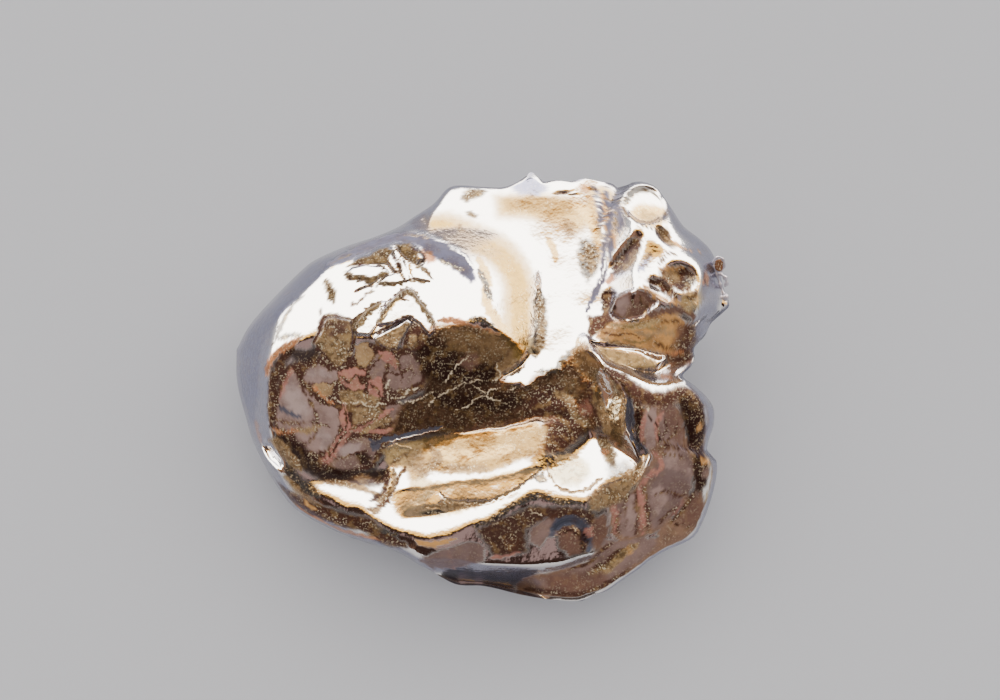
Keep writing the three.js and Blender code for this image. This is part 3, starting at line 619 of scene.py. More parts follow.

# Stains, crusts and painted light and shade in the order they are laid on: tone, amount, soft edge or
# width in mm, then the points.
# Rise lifts the skin in mm, and rim gives the mark a brown outline.
stainsAndPaintedLight = [
    # the mauve skin of the left face and its pink seams
    patch("umber", 0.85, 0.2, (-12.2, 1.0), (-12.5, -1.0), (-12.6, -2.6), (-11.6, -3.4), (-10.4, -4.4),
        (-8.8, -5.3), (-6.6, -5.0), (-5.6, -3.2), (-3.5, -2.4), (-2.0, -2.3), (1.0, -2.1), (1.1, -1.7),
        (-1.0, -1.6), (-3.4, -1.4), (-5.2, -1.0), (-3.6, -0.3), (-3.4, 0.6), (-3.7, 1.6), (-4.6, 2.2),
        (-7.2, 2.6), (-8.2, 1.4), (-9.7, 1.8), (-10.6, 1.5), (-11.4, 1.4)),
    patch("mauve", 1.0, 0.05, (-12.2, -0.6), (-11.9, 0.1), (-11.4, 0.75), (-11.15, 0.5), (-10.8, 0.0),
        (-10.4, -0.5), (-9.9, -1.05), (-9.2, -1.25), (-8.75, -1.4), (-8.6, -2.3), (-8.9, -3.2),
        (-9.4, -3.9), (-10.6, -4.0), (-11.2, -3.3), (-11.4, -2.8), (-12.3, -2.5), (-12.5, -1.6), rim=0.7),
    patch("mauve", 0.95, 0.05, (-10.9, 0.35), (-10.5, 1.0), (-9.9, 1.25), (-9.3, 0.9), (-8.8, 0.85),
        (-8.75, 0.35), (-9.3, 0.15), (-10.2, 0.15), rim=0.6),
    patch("ochre", 0.8, 0.06, (-10.35, 0.1), (-9.6, 0.15), (-9.0, 0.05), (-9.1, -0.55), (-9.6, -0.7),
        rim=0.6),
    patch("plum", 0.9, 0.12, (-5.9, 0.1), (-5.7, 1.0), (-5.1, 1.6), (-4.5, 1.9), (-3.9, 1.3), (-3.8, 0.3),
        (-4.6, -0.2), (-5.5, -0.3), rim=0.3),
    patch("plum", 0.8, 0.1, (-6.9, 1.0), (-6.4, 1.9), (-5.7, 2.1), (-5.9, 1.2), (-6.1, 0.4), (-6.8, 0.3),
        rim=0.3),
    patch("plum", 0.8, 0.12, (-9.0, -3.6), (-8.2, -3.3), (-7.2, -3.1), (-6.4, -3.5), (-6.7, -4.6),
        (-7.8, -5.0), (-8.8, -5.1), (-9.4, -4.6), rim=0.3),
    patch("plum", 0.85, 0.09, (-6.0, -1.3), (-5.2, -1.1), (-4.2, -1.5), (-3.2, -1.8), (-3.5, -2.4),
        (-4.4, -2.5), (-5.5, -2.2), rim=0.4),
    patch("plum", 0.85, 0.08, (-1.0, -1.7), (0.3, -1.8), (1.3, -1.9), (1.1, -2.4), (0.0, -2.6),
        (-0.9, -2.4), rim=0.4),
    patch("mauve", 0.5, 0.1, (-11.3, -2.9), (-10.6, -3.0), (-10.5, -3.9), (-11.1, -3.9)),
    patch("ochre", 0.8, 0.08, (-7.75, 2.4), (-6.95, 2.55), (-6.6, 1.8), (-7.1, 1.05), (-7.6, 1.25),
        rim=0.8),
    patch("pink", 0.95, 0.05, (-8.75, 0.95), (-7.9, 1.05), (-7.0, 1.0), (-7.2, 0.4), (-7.1, -0.2),
        (-7.9, -0.3), (-8.6, 0.1), rise=0.03, rim=0.4),
    patch("pink", 0.8, 0.06, (-6.9, 0.3), (-6.2, 0.5), (-6.0, -0.7), (-6.9, -0.8), (-7.0, -0.3),
        rise=0.03, rim=0.5),
    patch("brown", 0.8, 0.05, (-7.6, 0.5), (-7.2, 0.55), (-7.0, 0.2), (-7.3, 0.0)),
    patch("pink", 0.9, 0.06, (-6.4, 2.0), (-5.6, 1.95), (-5.1, 1.4), (-5.3, 0.95), (-5.6, 1.3),
        (-6.1, 1.5), rim=0.6),
    streak("pink", 0.95, 0.55, (-8.35, -1.1), (-8.4, -2.0), (-8.2, -2.7), (-8.6, -3.3), (-9.0, -3.9),
        (-9.6, -4.7), (-10.0, -5.0), rise=0.05, rim=0.6),
    streak("pink", 0.85, 0.34, (-8.2, -2.8), (-7.3, -2.4), (-6.4, -1.9), (-5.5, -1.4), rise=0.04,
        rim=0.6),
    streak("pink", 0.7, 0.28, (-8.0, -2.7), (-7.0, -2.7), (-6.0, -2.75), (-5.1, -2.4), rise=0.03,
        rim=0.6),
    patch("olive", 0.8, 0.08, (-8.7, -0.4), (-7.6, -0.35), (-6.2, -0.8), (-6.4, -1.1), (-7.8, -1.15),
        (-8.5, -0.9)),
    patch("olive", 0.7, 0.08, (-7.9, -1.4), (-6.6, -1.2), (-6.0, -1.6), (-7.2, -2.2), (-7.8, -2.3)),
    streak("olive", 0.6, 0.3, (-7.4, -2.9), (-6.6, -2.4), (-5.6, -2.0)),
    streak("brown", 0.8, 0.1, (-7.9, 1.4), (-7.4, 1.0), (-6.9, 0.95), (-6.4, 1.5), (-6.0, 1.9),
        rise=-0.03),
    streak("pink", 0.8, 0.24, (-11.5, 0.9), (-11.85, 0.2), (-12.1, -0.7)),
    streak("brown", 0.9, 0.1, (-11.5, 1.0), (-11.1, 0.5), (-10.75, -0.05), (-10.3, -0.6), (-9.8, -1.1),
        rise=-0.03),
    streak("orange", 0.9, 0.16, (-10.3, 0.0), (-9.8, -0.5), (-9.3, -0.95), (-9.0, -1.1), rise=0.03),
    # painted shade and dark reflection in a crack across the left face
    streak("slateShade", 0.9, 0.16, (-12.2, -1.25), (-11.9, -1.55), (-11.5, -1.75), (-10.9, -1.95)),
    streak("black", 0.95, 0.09, (-12.25, -1.2), (-11.7, -1.45), (-11.3, -1.65)),
    streak("olive", 0.6, 0.35, (-11.4, -2.6), (-10.5, -2.7), (-9.7, -2.3)),
    streak("orange", 0.7, 0.2, (-12.6, -2.6), (-12.0, -2.85), (-11.2, -2.6)),
    patch("black", 0.9, 0.15, (-7.7, -4.1), (-7.3, -4.0), (-6.8, -4.3), (-6.9, -4.7), (-7.4, -4.7),
        rise=-0.05),
    # painted light and shade on the folded plates: pale highlights beside the folds, umber darkening along
    # the creases
    patch("ashHighlight", 0.35, 0.25, (-12.0, -0.5), (-11.5, 0.2), (-10.9, -0.6), (-10.4, -1.6), (-10.9, -2.1),
        (-11.8, -1.6)),
    patch("ashHighlight", 0.3, 0.15, (-8.8, -3.7), (-8.0, -3.5), (-7.3, -3.4), (-7.6, -4.0), (-8.4, -4.3)),
    streak("ashHighlight", 0.3, 0.6, (-10.0, -2.7), (-9.4, -3.2), (-9.7, -3.7)),
    streak("ashHighlight", 0.3, 0.4, (-10.5, 0.6), (-9.9, 0.8), (-9.2, 0.5)),
    streak("umber", 0.75, 0.15, (-11.2, 0.5), (-10.7, -0.5), (-10.2, -1.4), (-9.9, -2.3), rise=-0.02),
    streak("umber", 0.75, 0.15, (-12.3, -2.1), (-11.3, -2.3), (-10.2, -2.2), (-9.2, -2.5), rise=-0.02),
    streak("umber", 0.7, 0.15, (-9.9, -2.4), (-10.3, -3.2), (-11.0, -3.7), rise=-0.02),
    streak("umber", 0.65, 0.14, (-5.8, 0.9), (-5.2, 0.6), (-4.6, 1.0), (-4.1, 0.6)),
    streak("umber", 0.65, 0.12, (-5.3, 1.5), (-5.0, 0.9), (-4.9, 0.1)),
    streak("umber", 0.65, 0.14, (-8.8, -4.4), (-7.9, -4.1), (-7.0, -3.9)),
    streak("brown", 0.85, 0.13, (-8.35, -1.2), (-8.25, -2.0), (-8.3, -2.7), (-8.8, -3.5), (-9.5, -4.5),
        rise=-0.03),
    streak("brown", 0.85, 0.11, (-8.1, -2.65), (-7.2, -2.3), (-6.3, -1.85)),
    streak("brown", 0.85, 0.13, (-8.6, 0.6), (-8.1, 0.2), (-7.7, 0.6), (-7.2, 0.1)),
    streak("brown", 0.8, 0.13, (-6.8, 0.1), (-6.4, -0.3), (-6.2, -0.7)),
    # painted shade laid again in the same crack
    streak("slateShade", 0.95, 0.18, (-12.2, -1.2), (-11.9, -1.5), (-11.5, -1.72), (-10.9, -1.92), rise=-0.02),
    # the dark speckled belt round the left face
    streak("brown", 0.75, 0.6, (-11.4, 2.2), (-12.0, 1.6), (-12.6, 0.3), (-12.65, -1.0), (-12.75, -2.4)),
    streak("black", 0.6, 0.7, (-11.6, 1.9), (-10.6, 1.8), (-9.9, 2.0)),
    streak("black", 0.7, 1.0, (-12.3, -3.1), (-11.3, -3.8), (-10.6, -4.6), (-9.4, -5.3), (-8.0, -5.6),
        (-6.4, -5.5), (-5.6, -5.2)),
    streak("olive", 0.6, 0.3, (-12.9, -3.3), (-12.2, -3.4), (-11.4, -4.3), (-10.9, -5.2)),
    streak("olive", 0.7, 0.28, (-9.5, -5.7), (-8.4, -5.9), (-7.2, -6.2), (-6.2, -6.6), (-5.6, -7.0)),
    streak("smoke", 0.7, 0.75, (-11.8, -4.9), (-11.3, -5.6), (-10.6, -6.1), (-10.0, -6.5)),
    streak("orange", 0.9, 0.34, (-13.05, 0.6), (-12.75, 1.5), (-12.2, 2.1), (-11.0, 2.75)),
    streak("orange", 0.45, 0.22, (-13.8, -2.0), (-13.6, -2.8), (-13.4, -3.4)),
    streak("olive", 0.6, 0.5, (-12.8, -3.2), (-11.9, -4.1), (-11.2, -4.9)),
    streak("olive", 0.5, 0.4, (-12.0, -5.4), (-11.0, -6.4), (-9.8, -7.3), (-8.4, -7.9), (-7.2, -8.2)),
    streak("smoke", 0.6, 0.28, (-12.3, 2.7), (-11.6, 3.0), (-10.9, 2.9)),
    streak("smoke", 0.5, 0.22, (-12.6, 2.4), (-12.2, 3.5), (-11.6, 4.6), (-10.9, 5.4)),
    # tan crest of the left lobe
    streak("orange", 0.85, 0.34, (-2.8, 3.85), (-1.8, 3.85), (-0.8, 3.5), (0.0, 3.25), (0.9, 3.05)),
    streak("smoke", 0.8, 0.28, (-0.9, 3.95), (-0.2, 3.9), (0.5, 3.5)),
    # valley and basin
    patch("bronze", 1.0, 0.25, (-3.4, 0.4), (-3.9, 1.6), (-4.2, 2.4), (-3.0, 3.6), (-1.0, 3.5),
        (1.0, 2.9), (1.9, 2.2), (1.5, 1.2), (0.9, 0.6), (1.4, 0.1), (2.4, -0.2), (3.0, 0.5), (4.4, 0.9),
        (5.6, 2.2), (6.2, 2.4), (6.9, 0.8), (6.7, -0.8), (6.9, -2.4), (5.6, -3.0), (4.6, -3.9),
        (3.6, -3.9), (3.6, -2.6), (3.4, -2.1), (1.2, -2.4), (-2.0, -2.9), (-5.6, -2.9), (-5.0, -1.3),
        (-3.6, -0.6)),
    # painted golden sheen along the valley's upper side, fading to painted shade lower down
    patch("sheen", 0.7, 0.4, (-2.8, 3.5), (-1.0, 3.3), (0.9, 2.9), (1.8, 2.0), (1.0, 1.9), (-0.6, 2.3),
        (-2.0, 2.4)),
    patch("sheen", 0.5, 0.4, (-1.8, 2.2), (0.4, 2.2), (1.2, 1.6), (-0.2, 1.4)),
    patch("black", 0.7, 0.5, (-4.3, 2.6), (-3.4, 2.9), (-2.6, 2.3), (-0.8, 1.4), (0.7, 0.9), (0.4, 0.2),
        (-0.6, -0.1), (-2.6, 0.2), (-3.6, 0.6)),
    patch("black", 0.55, 0.4, (-3.3, -0.4), (-1.5, -0.3), (0.5, -0.4), (1.6, -0.4), (2.4, -0.9),
        (1.4, -1.6), (-0.8, -1.5), (-3.0, -1.2)),
    patch("dusk", 0.6, 0.2, (-1.6, 1.3), (-1.1, 1.8), (-0.5, 1.9), (-0.3, 1.3), (-0.9, 0.9)),
    patch("olive", 0.45, 0.5, (3.0, -0.4), (4.4, 0.3), (5.2, 0.6), (5.6, -0.4), (4.6, -1.2), (3.6, -1.6)),
    streak("parchment", 0.8, 0.7, (3.05, 2.7), (2.75, 2.35), (2.4, 2.0)),
    streak("olive", 0.9, 0.45, (2.3, 1.9), (2.0, 1.5), (1.5, 1.1), (0.95, 0.75), (0.75, 0.4)),
    # painted golden sheen on the left wall of the V
    streak("sheen", 0.8, 0.5, (2.2, 2.5), (1.7, 1.8), (1.2, 1.3), (0.7, 1.0)),
    streak("smoke", 0.6, 0.35, (3.0, 0.8), (4.2, 0.9), (4.6, 1.5), (5.6, 2.3)),
    patch("umber", 0.8, 0.45, (3.6, -2.6), (4.3, -2.0), (5.3, -1.4), (5.9, -2.2), (5.7, -3.1),
        (4.7, -3.9), (3.8, -4.0), (3.6, -3.3)),
    # painted shade keeps this part of the basin floor dark
    patch("umber", 0.75, 0.35, (2.4, -0.7), (3.0, -0.2), (4.4, 0.1), (5.2, -0.6), (5.0, -1.6),
        (3.6, -2.0), (2.4, -1.6)),
    # painted golden sheen on the wall of the basin
    patch("sheen", 0.7, 0.2, (5.2, 2.1), (6.0, 2.6), (6.3, 1.9), (6.9, 1.1), (6.8, 0.5), (5.9, 0.5),
        (5.3, 1.2)),
    # painted shadow and dark reflection under the overhang of the inner fold
    streak("slateShade", 0.95, 0.26, (-6.7, -3.55), (-6.0, -3.25), (-5.0, -3.05), (-4.0, -2.8), (-2.6, -2.5),
        rise=-0.12),
    patch("slateShade", 0.95, 0.08, (-6.9, -3.2), (-6.3, -3.3), (-6.3, -3.9), (-6.7, -3.9), rise=-0.08),
    patch("pink", 0.3, 0.3, (5.5, -1.5), (5.9, -1.0), (6.5, -0.8), (6.6, -1.4), (6.1, -1.9), (5.6, -2.0)),
    streak("umber", 0.7, 0.5, (6.3, 0.2), (6.4, -0.6), (6.7, -1.4), (6.8, -2.4)),
    streak("olive", 0.6, 0.5, (4.2, -0.4), (5.0, -0.9), (5.5, -1.9), (6.3, -2.5)),
    patch("fawn", 1.0, 0.25, (6.5, 0.8), (7.1, 1.1), (7.8, 0.4), (8.25, -0.8), (8.3, -2.4), (8.1, -3.6),
        (7.3, -3.0), (6.9, -1.8), (6.6, -0.8)),
    streak("olive", 0.6, 0.5, (6.9, -0.9), (7.1, -1.8), (7.4, -3.0)),
    streak("clean", 1.0, 0.6, (6.95, 0.9), (7.1, 0.3), (7.3, -0.4), (7.35, -1.2)),
    streak("frost", 0.6, 0.4, (7.6, 0.3), (7.8, -0.5), (7.85, -1.4), (7.7, -2.2)),
    streak("olive", 0.8, 0.22, (7.9, 0.1), (8.15, -0.6), (8.3, -1.4), (8.2, -2.2), (8.3, -2.9)),
    # painted shade and dark bluish reflection in the crevice beside the shoulder
    streak("slateShade", 0.9, 0.22, (8.35, -0.3), (8.65, -1.0), (8.75, -1.8), (8.6, -2.6), (8.9, -3.4)),
    streak("cream", 0.9, 0.09, (6.15, 2.7), (6.35, 1.9), (7.05, 1.05), (7.7, 0.45), (8.2, -0.3),
        (8.4, -0.9), rise=0.04),
    # inner fold
    patch("amber", 0.85, 0.3, (-5.2, -3.5), (-3.0, -3.15), (-1.0, -2.95), (1.0, -2.75), (3.0, -2.3),
        (3.6, -2.6), (3.3, -4.1), (1.8, -4.5), (0.4, -5.2), (-2.0, -5.2), (-3.4, -5.1), (-4.3, -5.9)),
    streak("cream", 0.5, 0.35, (-5.0, -3.6), (-3.0, -3.25), (-1.0, -3.05), (0.6, -2.85), (2.0, -2.6),
        (3.2, -2.35)),
    streak("cream", 0.5, 0.7, (-3.3, -3.9), (-1.8, -4.2), (0.2, -4.1), (1.6, -3.7)),
    streak("clean", 0.5, 0.35, (-3.6, -5.3), (-2.0, -5.5), (0.2, -5.4), (1.8, -4.9), (3.0, -4.6)),
    patch("honey", 0.95, 0.22, (-6.0, -3.95), (-5.4, -3.55), (-4.6, -3.45), (-3.7, -3.4), (-3.8, -4.1),
        (-4.3, -4.7), (-4.8, -4.9), (-5.8, -4.7)),
    patch("olive", 0.7, 0.3, (-4.6, -3.9), (-3.9, -3.9), (-3.6, -4.6), (-4.0, -5.2), (-4.6, -4.9)),
    streak("olive", 0.8, 0.22, (-5.6, -4.7), (-5.0, -4.3), (-4.6, -4.1)),
    streak("linen", 0.9, 0.2, (-5.8, -3.8), (-5.3, -3.6), (-4.9, -3.75), (-4.4, -3.8), rise=0.06),
    streak("olive", 0.5, 0.6, (-3.2, -3.7), (-2.8, -4.4), (-3.4, -5.0), (-4.0, -5.6)),
    streak("olive", 0.4, 0.5, (-2.4, -4.9), (-1.2, -5.0), (0.2, -5.0)),
    patch("linen", 0.9, 0.15, (-2.8, -6.0), (-1.0, -6.2), (0.8, -6.2), (2.0, -5.9), (1.0, -6.6),
        (-0.5, -6.8), (-2.2, -6.6)),
    patch("linen", 0.9, 0.2, (-5.2, -7.1), (-4.7, -6.6), (-4.35, -5.8), (-3.8, -5.5), (-3.3, -5.7),
        (-3.1, -6.3), (-3.5, -7.0), (-4.5, -7.4)),
    streak("honey", 0.8, 0.45, (-4.9, -7.3), (-4.1, -7.0), (-3.4, -6.5), (-3.1, -6.1)),
    streak("linen", 0.95, 0.55, (-3.8, -6.15), (-3.3, -6.05), (-1.8, -5.95), (0.0, -5.72), (1.6, -5.4),
        (3.2, -5.0)),
    patch("linen", 0.85, 0.15, (-5.3, -7.2), (-4.4, -6.9), (-2.4, -7.0), (-0.5, -7.1), (-1.2, -7.5),
        (-3.0, -7.85), (-4.7, -7.85), (-5.3, -7.6)),
    streak("olive", 0.9, 0.13, (-2.7, -6.3), (-2.2, -6.85), (-1.0, -6.95), (0.0, -6.95), (1.0, -6.6),
        (2.0, -6.1), (3.0, -5.35), (3.4, -5.0), rise=-0.06),
    patch("olive", 0.8, 0.12, (-3.0, -7.2), (-2.5, -6.7), (-1.0, -6.9), (0.2, -6.9), (-0.5, -7.25),
        (-1.6, -7.4)),
    streak("olive", 0.6, 0.14, (-4.2, -7.5), (-3.6, -7.25), (-2.6, -7.3), rise=-0.04),
    streak("smoke", 0.8, 0.18, (-3.7, -7.65), (-3.0, -7.5), (-2.3, -7.6)),
    streak("brown", 0.9, 0.24, (-6.6, -7.3), (-6.0, -7.0), (-5.5, -6.3), (-5.1, -5.4), (-4.7, -4.9)),
    streak("olive", 0.8, 0.3, (-6.4, -7.0), (-5.8, -6.5), (-5.5, -5.8), (-5.4, -5.0)),
    streak("black", 0.8, 0.3, (-5.9, -4.9), (-5.8, -5.6), (-6.1, -6.4), (-6.8, -6.9)),
    streak("cream", 0.8, 0.08, (-5.6, -4.9), (-5.55, -5.7), (-5.9, -6.4), rise=0.04),
    patch("smoke", 0.8, 0.08, (2.9, -5.4), (3.5, -5.2), (3.75, -5.7), (3.2, -5.85)),
    patch("frost", 0.8, 0.3, (3.9, -4.7), (4.5, -4.3), (5.4, -4.3), (6.1, -4.7), (6.2, -5.3), (5.5, -5.9),
        (4.6, -5.9), (3.9, -5.4)),
    streak("olive", 0.7, 0.14, (3.8, -4.6), (3.75, -5.2), (4.2, -5.8)),
    streak("honey", 0.5, 0.3, (4.2, -4.5), (4.9, -4.2), (5.6, -4.3)),
    streak("olive", 0.7, 0.16, (4.2, -6.0), (5.0, -6.35), (5.8, -6.3), (6.4, -6.0), (7.0, -5.5),
        rise=-0.05),
    patch("brown", 0.85, 0.1, (6.7, -3.0), (7.4, -3.1), (7.3, -4.1), (6.9, -3.9), rise=-0.08),
    patch("moss", 0.85, 0.15, (6.8, -3.2), (7.4, -3.3), (7.8, -4.1), (7.75, -4.9), (7.3, -4.6),
        (7.0, -4.0)),
    patch("orange", 0.7, 0.05, (7.0, -3.8), (7.35, -3.9), (7.2, -4.2), (7.0, -4.1)),
    patch("smoke", 0.35, 0.3, (7.3, -4.7), (8.4, -4.5), (9.0, -4.9), (8.5, -5.8), (7.5, -5.9)),
    patch("olive", 0.8, 0.2, (7.0, -6.0), (8.2, -5.6), (8.9, -4.9), (9.4, -4.4), (9.6, -5.0), (8.8, -6.1),
        (8.4, -6.8), (7.3, -7.3), (6.2, -7.5), (6.2, -6.6)),
    # front roll
    streak("brown", 0.8, 0.9, (-12.6, -5.8), (-11.0, -7.2), (-9.5, -7.7), (-8.0, -8.1), (-7.0, -8.3),
        (-6.0, -9.1), (-4.8, -9.5)),
    streak("gold", 0.9, 0.18, (-10.8, -6.8), (-10.5, -7.2), (-10.05, -7.4)),
    streak("orange", 0.55, 0.22, (-11.2, -7.3), (-9.5, -8.3), (-8.0, -8.8), (-6.2, -9.2)),
    streak("olive", 0.8, 0.3, (-7.0, -7.3), (-6.5, -7.5), (-6.2, -7.3)),
    streak("smoke", 0.7, 0.2, (-6.7, -8.2), (-6.0, -8.7), (-5.2, -8.9)),
    streak("smoke", 0.7, 0.35, (-0.6, -8.4), (0.6, -7.9), (1.4, -7.3), (2.4, -6.8), (3.4, -6.6),
        (4.4, -6.9), (5.8, -7.0)),
    streak("gold", 0.8, 0.35, (-4.2, -9.2), (-3.6, -9.4), (-2.8, -9.4), (-1.8, -9.1)),
    patch("plum", 0.95, 0.12, (-3.9, -10.4), (-2.6, -9.8), (-0.8, -9.3), (0.0, -9.6), (-0.1, -10.4),
        (-1.8, -10.95), (-3.2, -10.9)),
    patch("plum", 0.9, 0.12, (1.1, -9.0), (1.9, -8.9), (2.3, -9.4), (1.8, -9.9), (1.2, -9.7)),
    patch("plum", 0.9, 0.1, (2.7, -8.6), (3.3, -8.2), (4.1, -7.7), (5.4, -7.5), (5.8, -7.9), (4.4, -8.1),
        (3.7, -9.0), (3.3, -9.7), (2.7, -9.3)),
    streak("pink", 0.5, 0.2, (-2.2, -9.8), (-1.8, -10.9)),
    patch("brown", 0.75, 0.2, (-0.5, -8.6), (1.0, -7.9), (2.8, -7.2), (5.8, -7.3), (6.6, -7.7),
        (6.6, -8.5), (5.4, -8.1), (3.6, -7.9), (2.4, -8.6), (2.5, -9.9), (0.6, -10.2), (0.2, -9.6)),
    streak("pink", 0.6, 0.2, (0.3, -10.2), (1.2, -10.2), (2.0, -9.95)),
    # painted shade in the crater: black and dusk darken its hollow, slate its groove
    patch("black", 0.8, 0.15, (4.4, -8.7), (5.2, -8.6), (5.9, -9.4), (6.1, -9.9), (5.2, -10.2),
        (4.9, -9.7), (4.4, -9.5)),
    streak("slateShade", 1.0, 0.7, (3.95, -8.9), (4.5, -8.3), (5.2, -8.1), (5.9, -8.45), (6.2, -9.0),
        (6.2, -9.8), rise=-0.05),
    patch("dusk", 0.9, 0.15, (4.3, -8.75), (5.2, -8.45), (5.85, -9.0), (5.9, -9.9), (5.0, -10.2),
        (4.4, -9.6)),
    streak("black", 0.95, 0.4, (4.4, -8.8), (5.1, -8.5), (5.8, -9.0), (5.95, -9.8)),
    patch("dusk", 0.9, 0.15, (6.5, -8.0), (7.2, -7.6), (7.4, -8.8), (6.9, -9.7), (6.5, -9.9),
        (6.4, -9.0)),
    patch("pink", 0.9, 0.07, (5.95, -8.5), (6.4, -8.5), (6.45, -8.9), (6.2, -9.05), (5.95, -8.9),
        rim=0.6),
    # lower lip
    patch("tawny", 0.9, 0.15, (1.8, -12.0), (2.4, -11.4), (4.5, -11.0), (6.0, -10.6), (7.0, -9.6),
        (9.4, -9.1), (11.4, -9.3), (9.5, -10.8), (7.0, -12.4), (5.5, -12.9), (2.0, -12.7)),
    patch("plum", 0.9, 0.15, (2.4, -11.75), (4.5, -11.3), (6.0, -10.8), (7.0, -9.8), (7.2, -9.2),
        (8.0, -9.3), (9.5, -9.1), (10.8, -9.2), (9.5, -10.2), (8.2, -11.1), (7.0, -11.8), (5.5, -12.3),
        (4.0, -12.0)),
    patch("orange", 0.4, 0.25, (4.0, -11.6), (5.5, -11.5), (6.5, -12.0), (5.5, -12.3), (4.0, -12.0)),
    streak("olive", 0.8, 0.45, (6.2, -11.2), (7.2, -11.0), (7.9, -10.4), (8.4, -9.9), (9.1, -9.5)),
    streak("brown", 0.8, 0.3, (6.4, -10.9), (7.2, -10.6), (7.8, -10.0), (8.3, -9.7)),
    patch("gold", 0.9, 0.1, (8.4, -9.7), (8.7, -9.6), (8.7, -10.0), (8.4, -10.0)),
    # apron
    streak("umber", 0.85, 0.95, (7.3, 0.9), (8.0, 0.4), (8.8, -0.3), (9.8, -0.8), (10.8, -0.8),
        (11.8, -0.5), (12.4, -0.9), (12.7, -2.0), (12.7, -3.5), (12.75, -5.0), (12.7, -6.0)),
    patch("brown", 0.9, 0.08, (8.9, -0.8), (9.5, -1.3), (9.3, -2.3), (9.2, -3.4), (8.95, -2.9),
        (8.9, -1.8)),
    patch("tawny", 0.95, 0.1, (9.5, -1.4), (11.2, -1.2), (11.7, -1.8), (11.9, -3.0), (12.3, -3.6),
        (12.4, -5.0), (12.2, -6.4), (11.6, -7.3), (11.0, -8.0), (10.2, -8.7), (9.5, -9.0), (8.0, -9.3),
        (7.5, -8.8), (7.4, -7.2), (8.4, -6.9), (8.9, -6.2), (9.3, -5.6), (9.7, -4.9), (10.0, -4.3),
        (9.8, -3.9), (9.3, -3.5), (9.3, -2.5)),
    patch("mauve", 0.9, 0.07, (9.55, -1.5), (10.2, -1.35), (10.3, -2.4), (10.15, -3.7), (9.6, -3.8),
        (9.45, -2.6), rim=0.4),
    patch("plum", 0.85, 0.09, (10.55, -1.3), (11.3, -1.2), (11.75, -2.2), (11.85, -3.5), (11.1, -3.8),
        (10.45, -3.6), (10.4, -2.4), rim=0.5),
    patch("plum", 1.0, 0.09, (10.6, -3.9), (11.9, -3.8), (12.4, -4.8), (12.3, -6.2), (11.5, -6.3),
        (10.6, -5.6), (10.7, -4.8), rim=0.3),
    patch("plum", 0.75, 0.12, (9.6, -6.0), (10.4, -5.5), (11.4, -6.4), (11.9, -6.5), (11.7, -7.2),
        (10.9, -7.9), (10.0, -8.6), (9.7, -7.4), rim=0.3),
    patch("plum", 1.0, 0.09, (7.9, -7.1), (8.9, -6.9), (9.1, -7.8), (9.1, -8.9), (8.2, -9.1), (7.7, -8.2),
        rim=0.4),
    patch("black", 0.9, 0.15, (11.6, -0.5), (12.4, -0.4), (13.0, -1.2), (13.1, -2.6), (12.9, -3.9),
        (12.2, -3.9), (12.0, -2.6), (11.7, -1.6)),
    patch("black", 0.85, 0.12, (12.5, -4.2), (13.1, -4.2), (13.4, -5.0), (13.2, -6.0), (12.7, -6.3),
        (12.5, -5.2)),
    streak("pink", 0.8, 0.28, (9.6, -1.6), (9.4, -2.5), (9.3, -3.4)),
    patch("dusk", 0.65, 0.3, (10.0, -5.9), (10.8, -5.5), (11.6, -5.8), (11.9, -6.8), (11.2, -7.3),
        (10.2, -7.0)),
    patch("dusk", 0.5, 0.25, (10.6, -1.4), (11.6, -1.3), (11.9, -2.6), (11.6, -3.6), (11.1, -3.0)),
    patch("mauve", 0.8, 0.1, (8.4, -6.7), (8.9, -6.4), (9.1, -7.4), (9.2, -8.4), (8.6, -8.7), (8.4, -7.7),
        rim=0.4),
    streak("mauve", 0.7, 0.4, (10.9, -3.95), (11.6, -4.35), (12.1, -5.2), (12.15, -5.9)),
    streak("pink", 0.7, 0.2, (10.7, -1.5), (10.25, -2.2), (10.2, -3.3), rise=0.03),
    streak("pink", 0.9, 0.2, (10.1, -3.95), (10.5, -4.6), (10.35, -5.05), (9.8, -5.35), (9.35, -5.9),
        rise=0.03),
    streak("pink", 0.95, 0.28, (9.15, -6.1), (9.3, -7.0), (9.4, -8.0), (9.35, -8.8), rise=0.04),
    streak("pink", 0.6, 0.35, (7.7, -7.2), (7.8, -8.0), (7.8, -8.8)),
    streak("brown", 0.8, 0.16, (8.6, -6.4), (8.35, -7.0), (8.3, -7.5)),
    streak("pink", 0.6, 0.25, (12.0, -6.8), (11.6, -7.2), (11.3, -7.7)),
    streak("black", 0.85, 0.06, (9.6, -1.7), (10.35, -2.6), (10.35, -3.4)),
    streak("black", 0.6, 0.5, (12.6, -1.4), (12.5, -2.6), (12.7, -4.2), (12.9, -5.4)),
    patch("gold", 0.85, 0.06, (12.6, -2.5), (12.85, -2.3), (12.95, -2.6), (12.75, -2.7)),
    patch("gold", 0.8, 0.08, (12.9, -4.35), (13.4, -4.4), (13.4, -4.7), (13.0, -4.6)),
    patch("plum", 0.8, 0.08, (13.0, -5.1), (13.4, -5.0), (13.35, -5.6), (13.0, -5.6)),
    patch("tawny", 0.95, 0.12, (12.9, -6.4), (13.0, -7.5), (12.7, -8.4), (12.2, -8.7), (11.5, -8.15),
        (11.3, -7.8), (12.2, -7.2)),
    patch("tawny", 0.95, 0.12, (10.4, -8.1), (11.3, -7.9), (12.4, -8.4), (12.7, -9.0), (11.2, -9.7),
        (10.2, -9.6)),
    streak("brown", 0.9, 0.1, (11.3, -8.2), (12.0, -8.45), (12.3, -8.8), rise=-0.08),
    streak("cream", 0.7, 0.1, (13.15, -0.9), (13.35, -1.8), (13.25, -2.8), (13.0, -3.6), rise=0.04),
    streak("cream", 0.7, 0.1, (13.4, -4.3), (13.6, -5.2), (13.4, -6.2), (13.1, -7.2), (12.7, -8.3),
        rise=0.04),
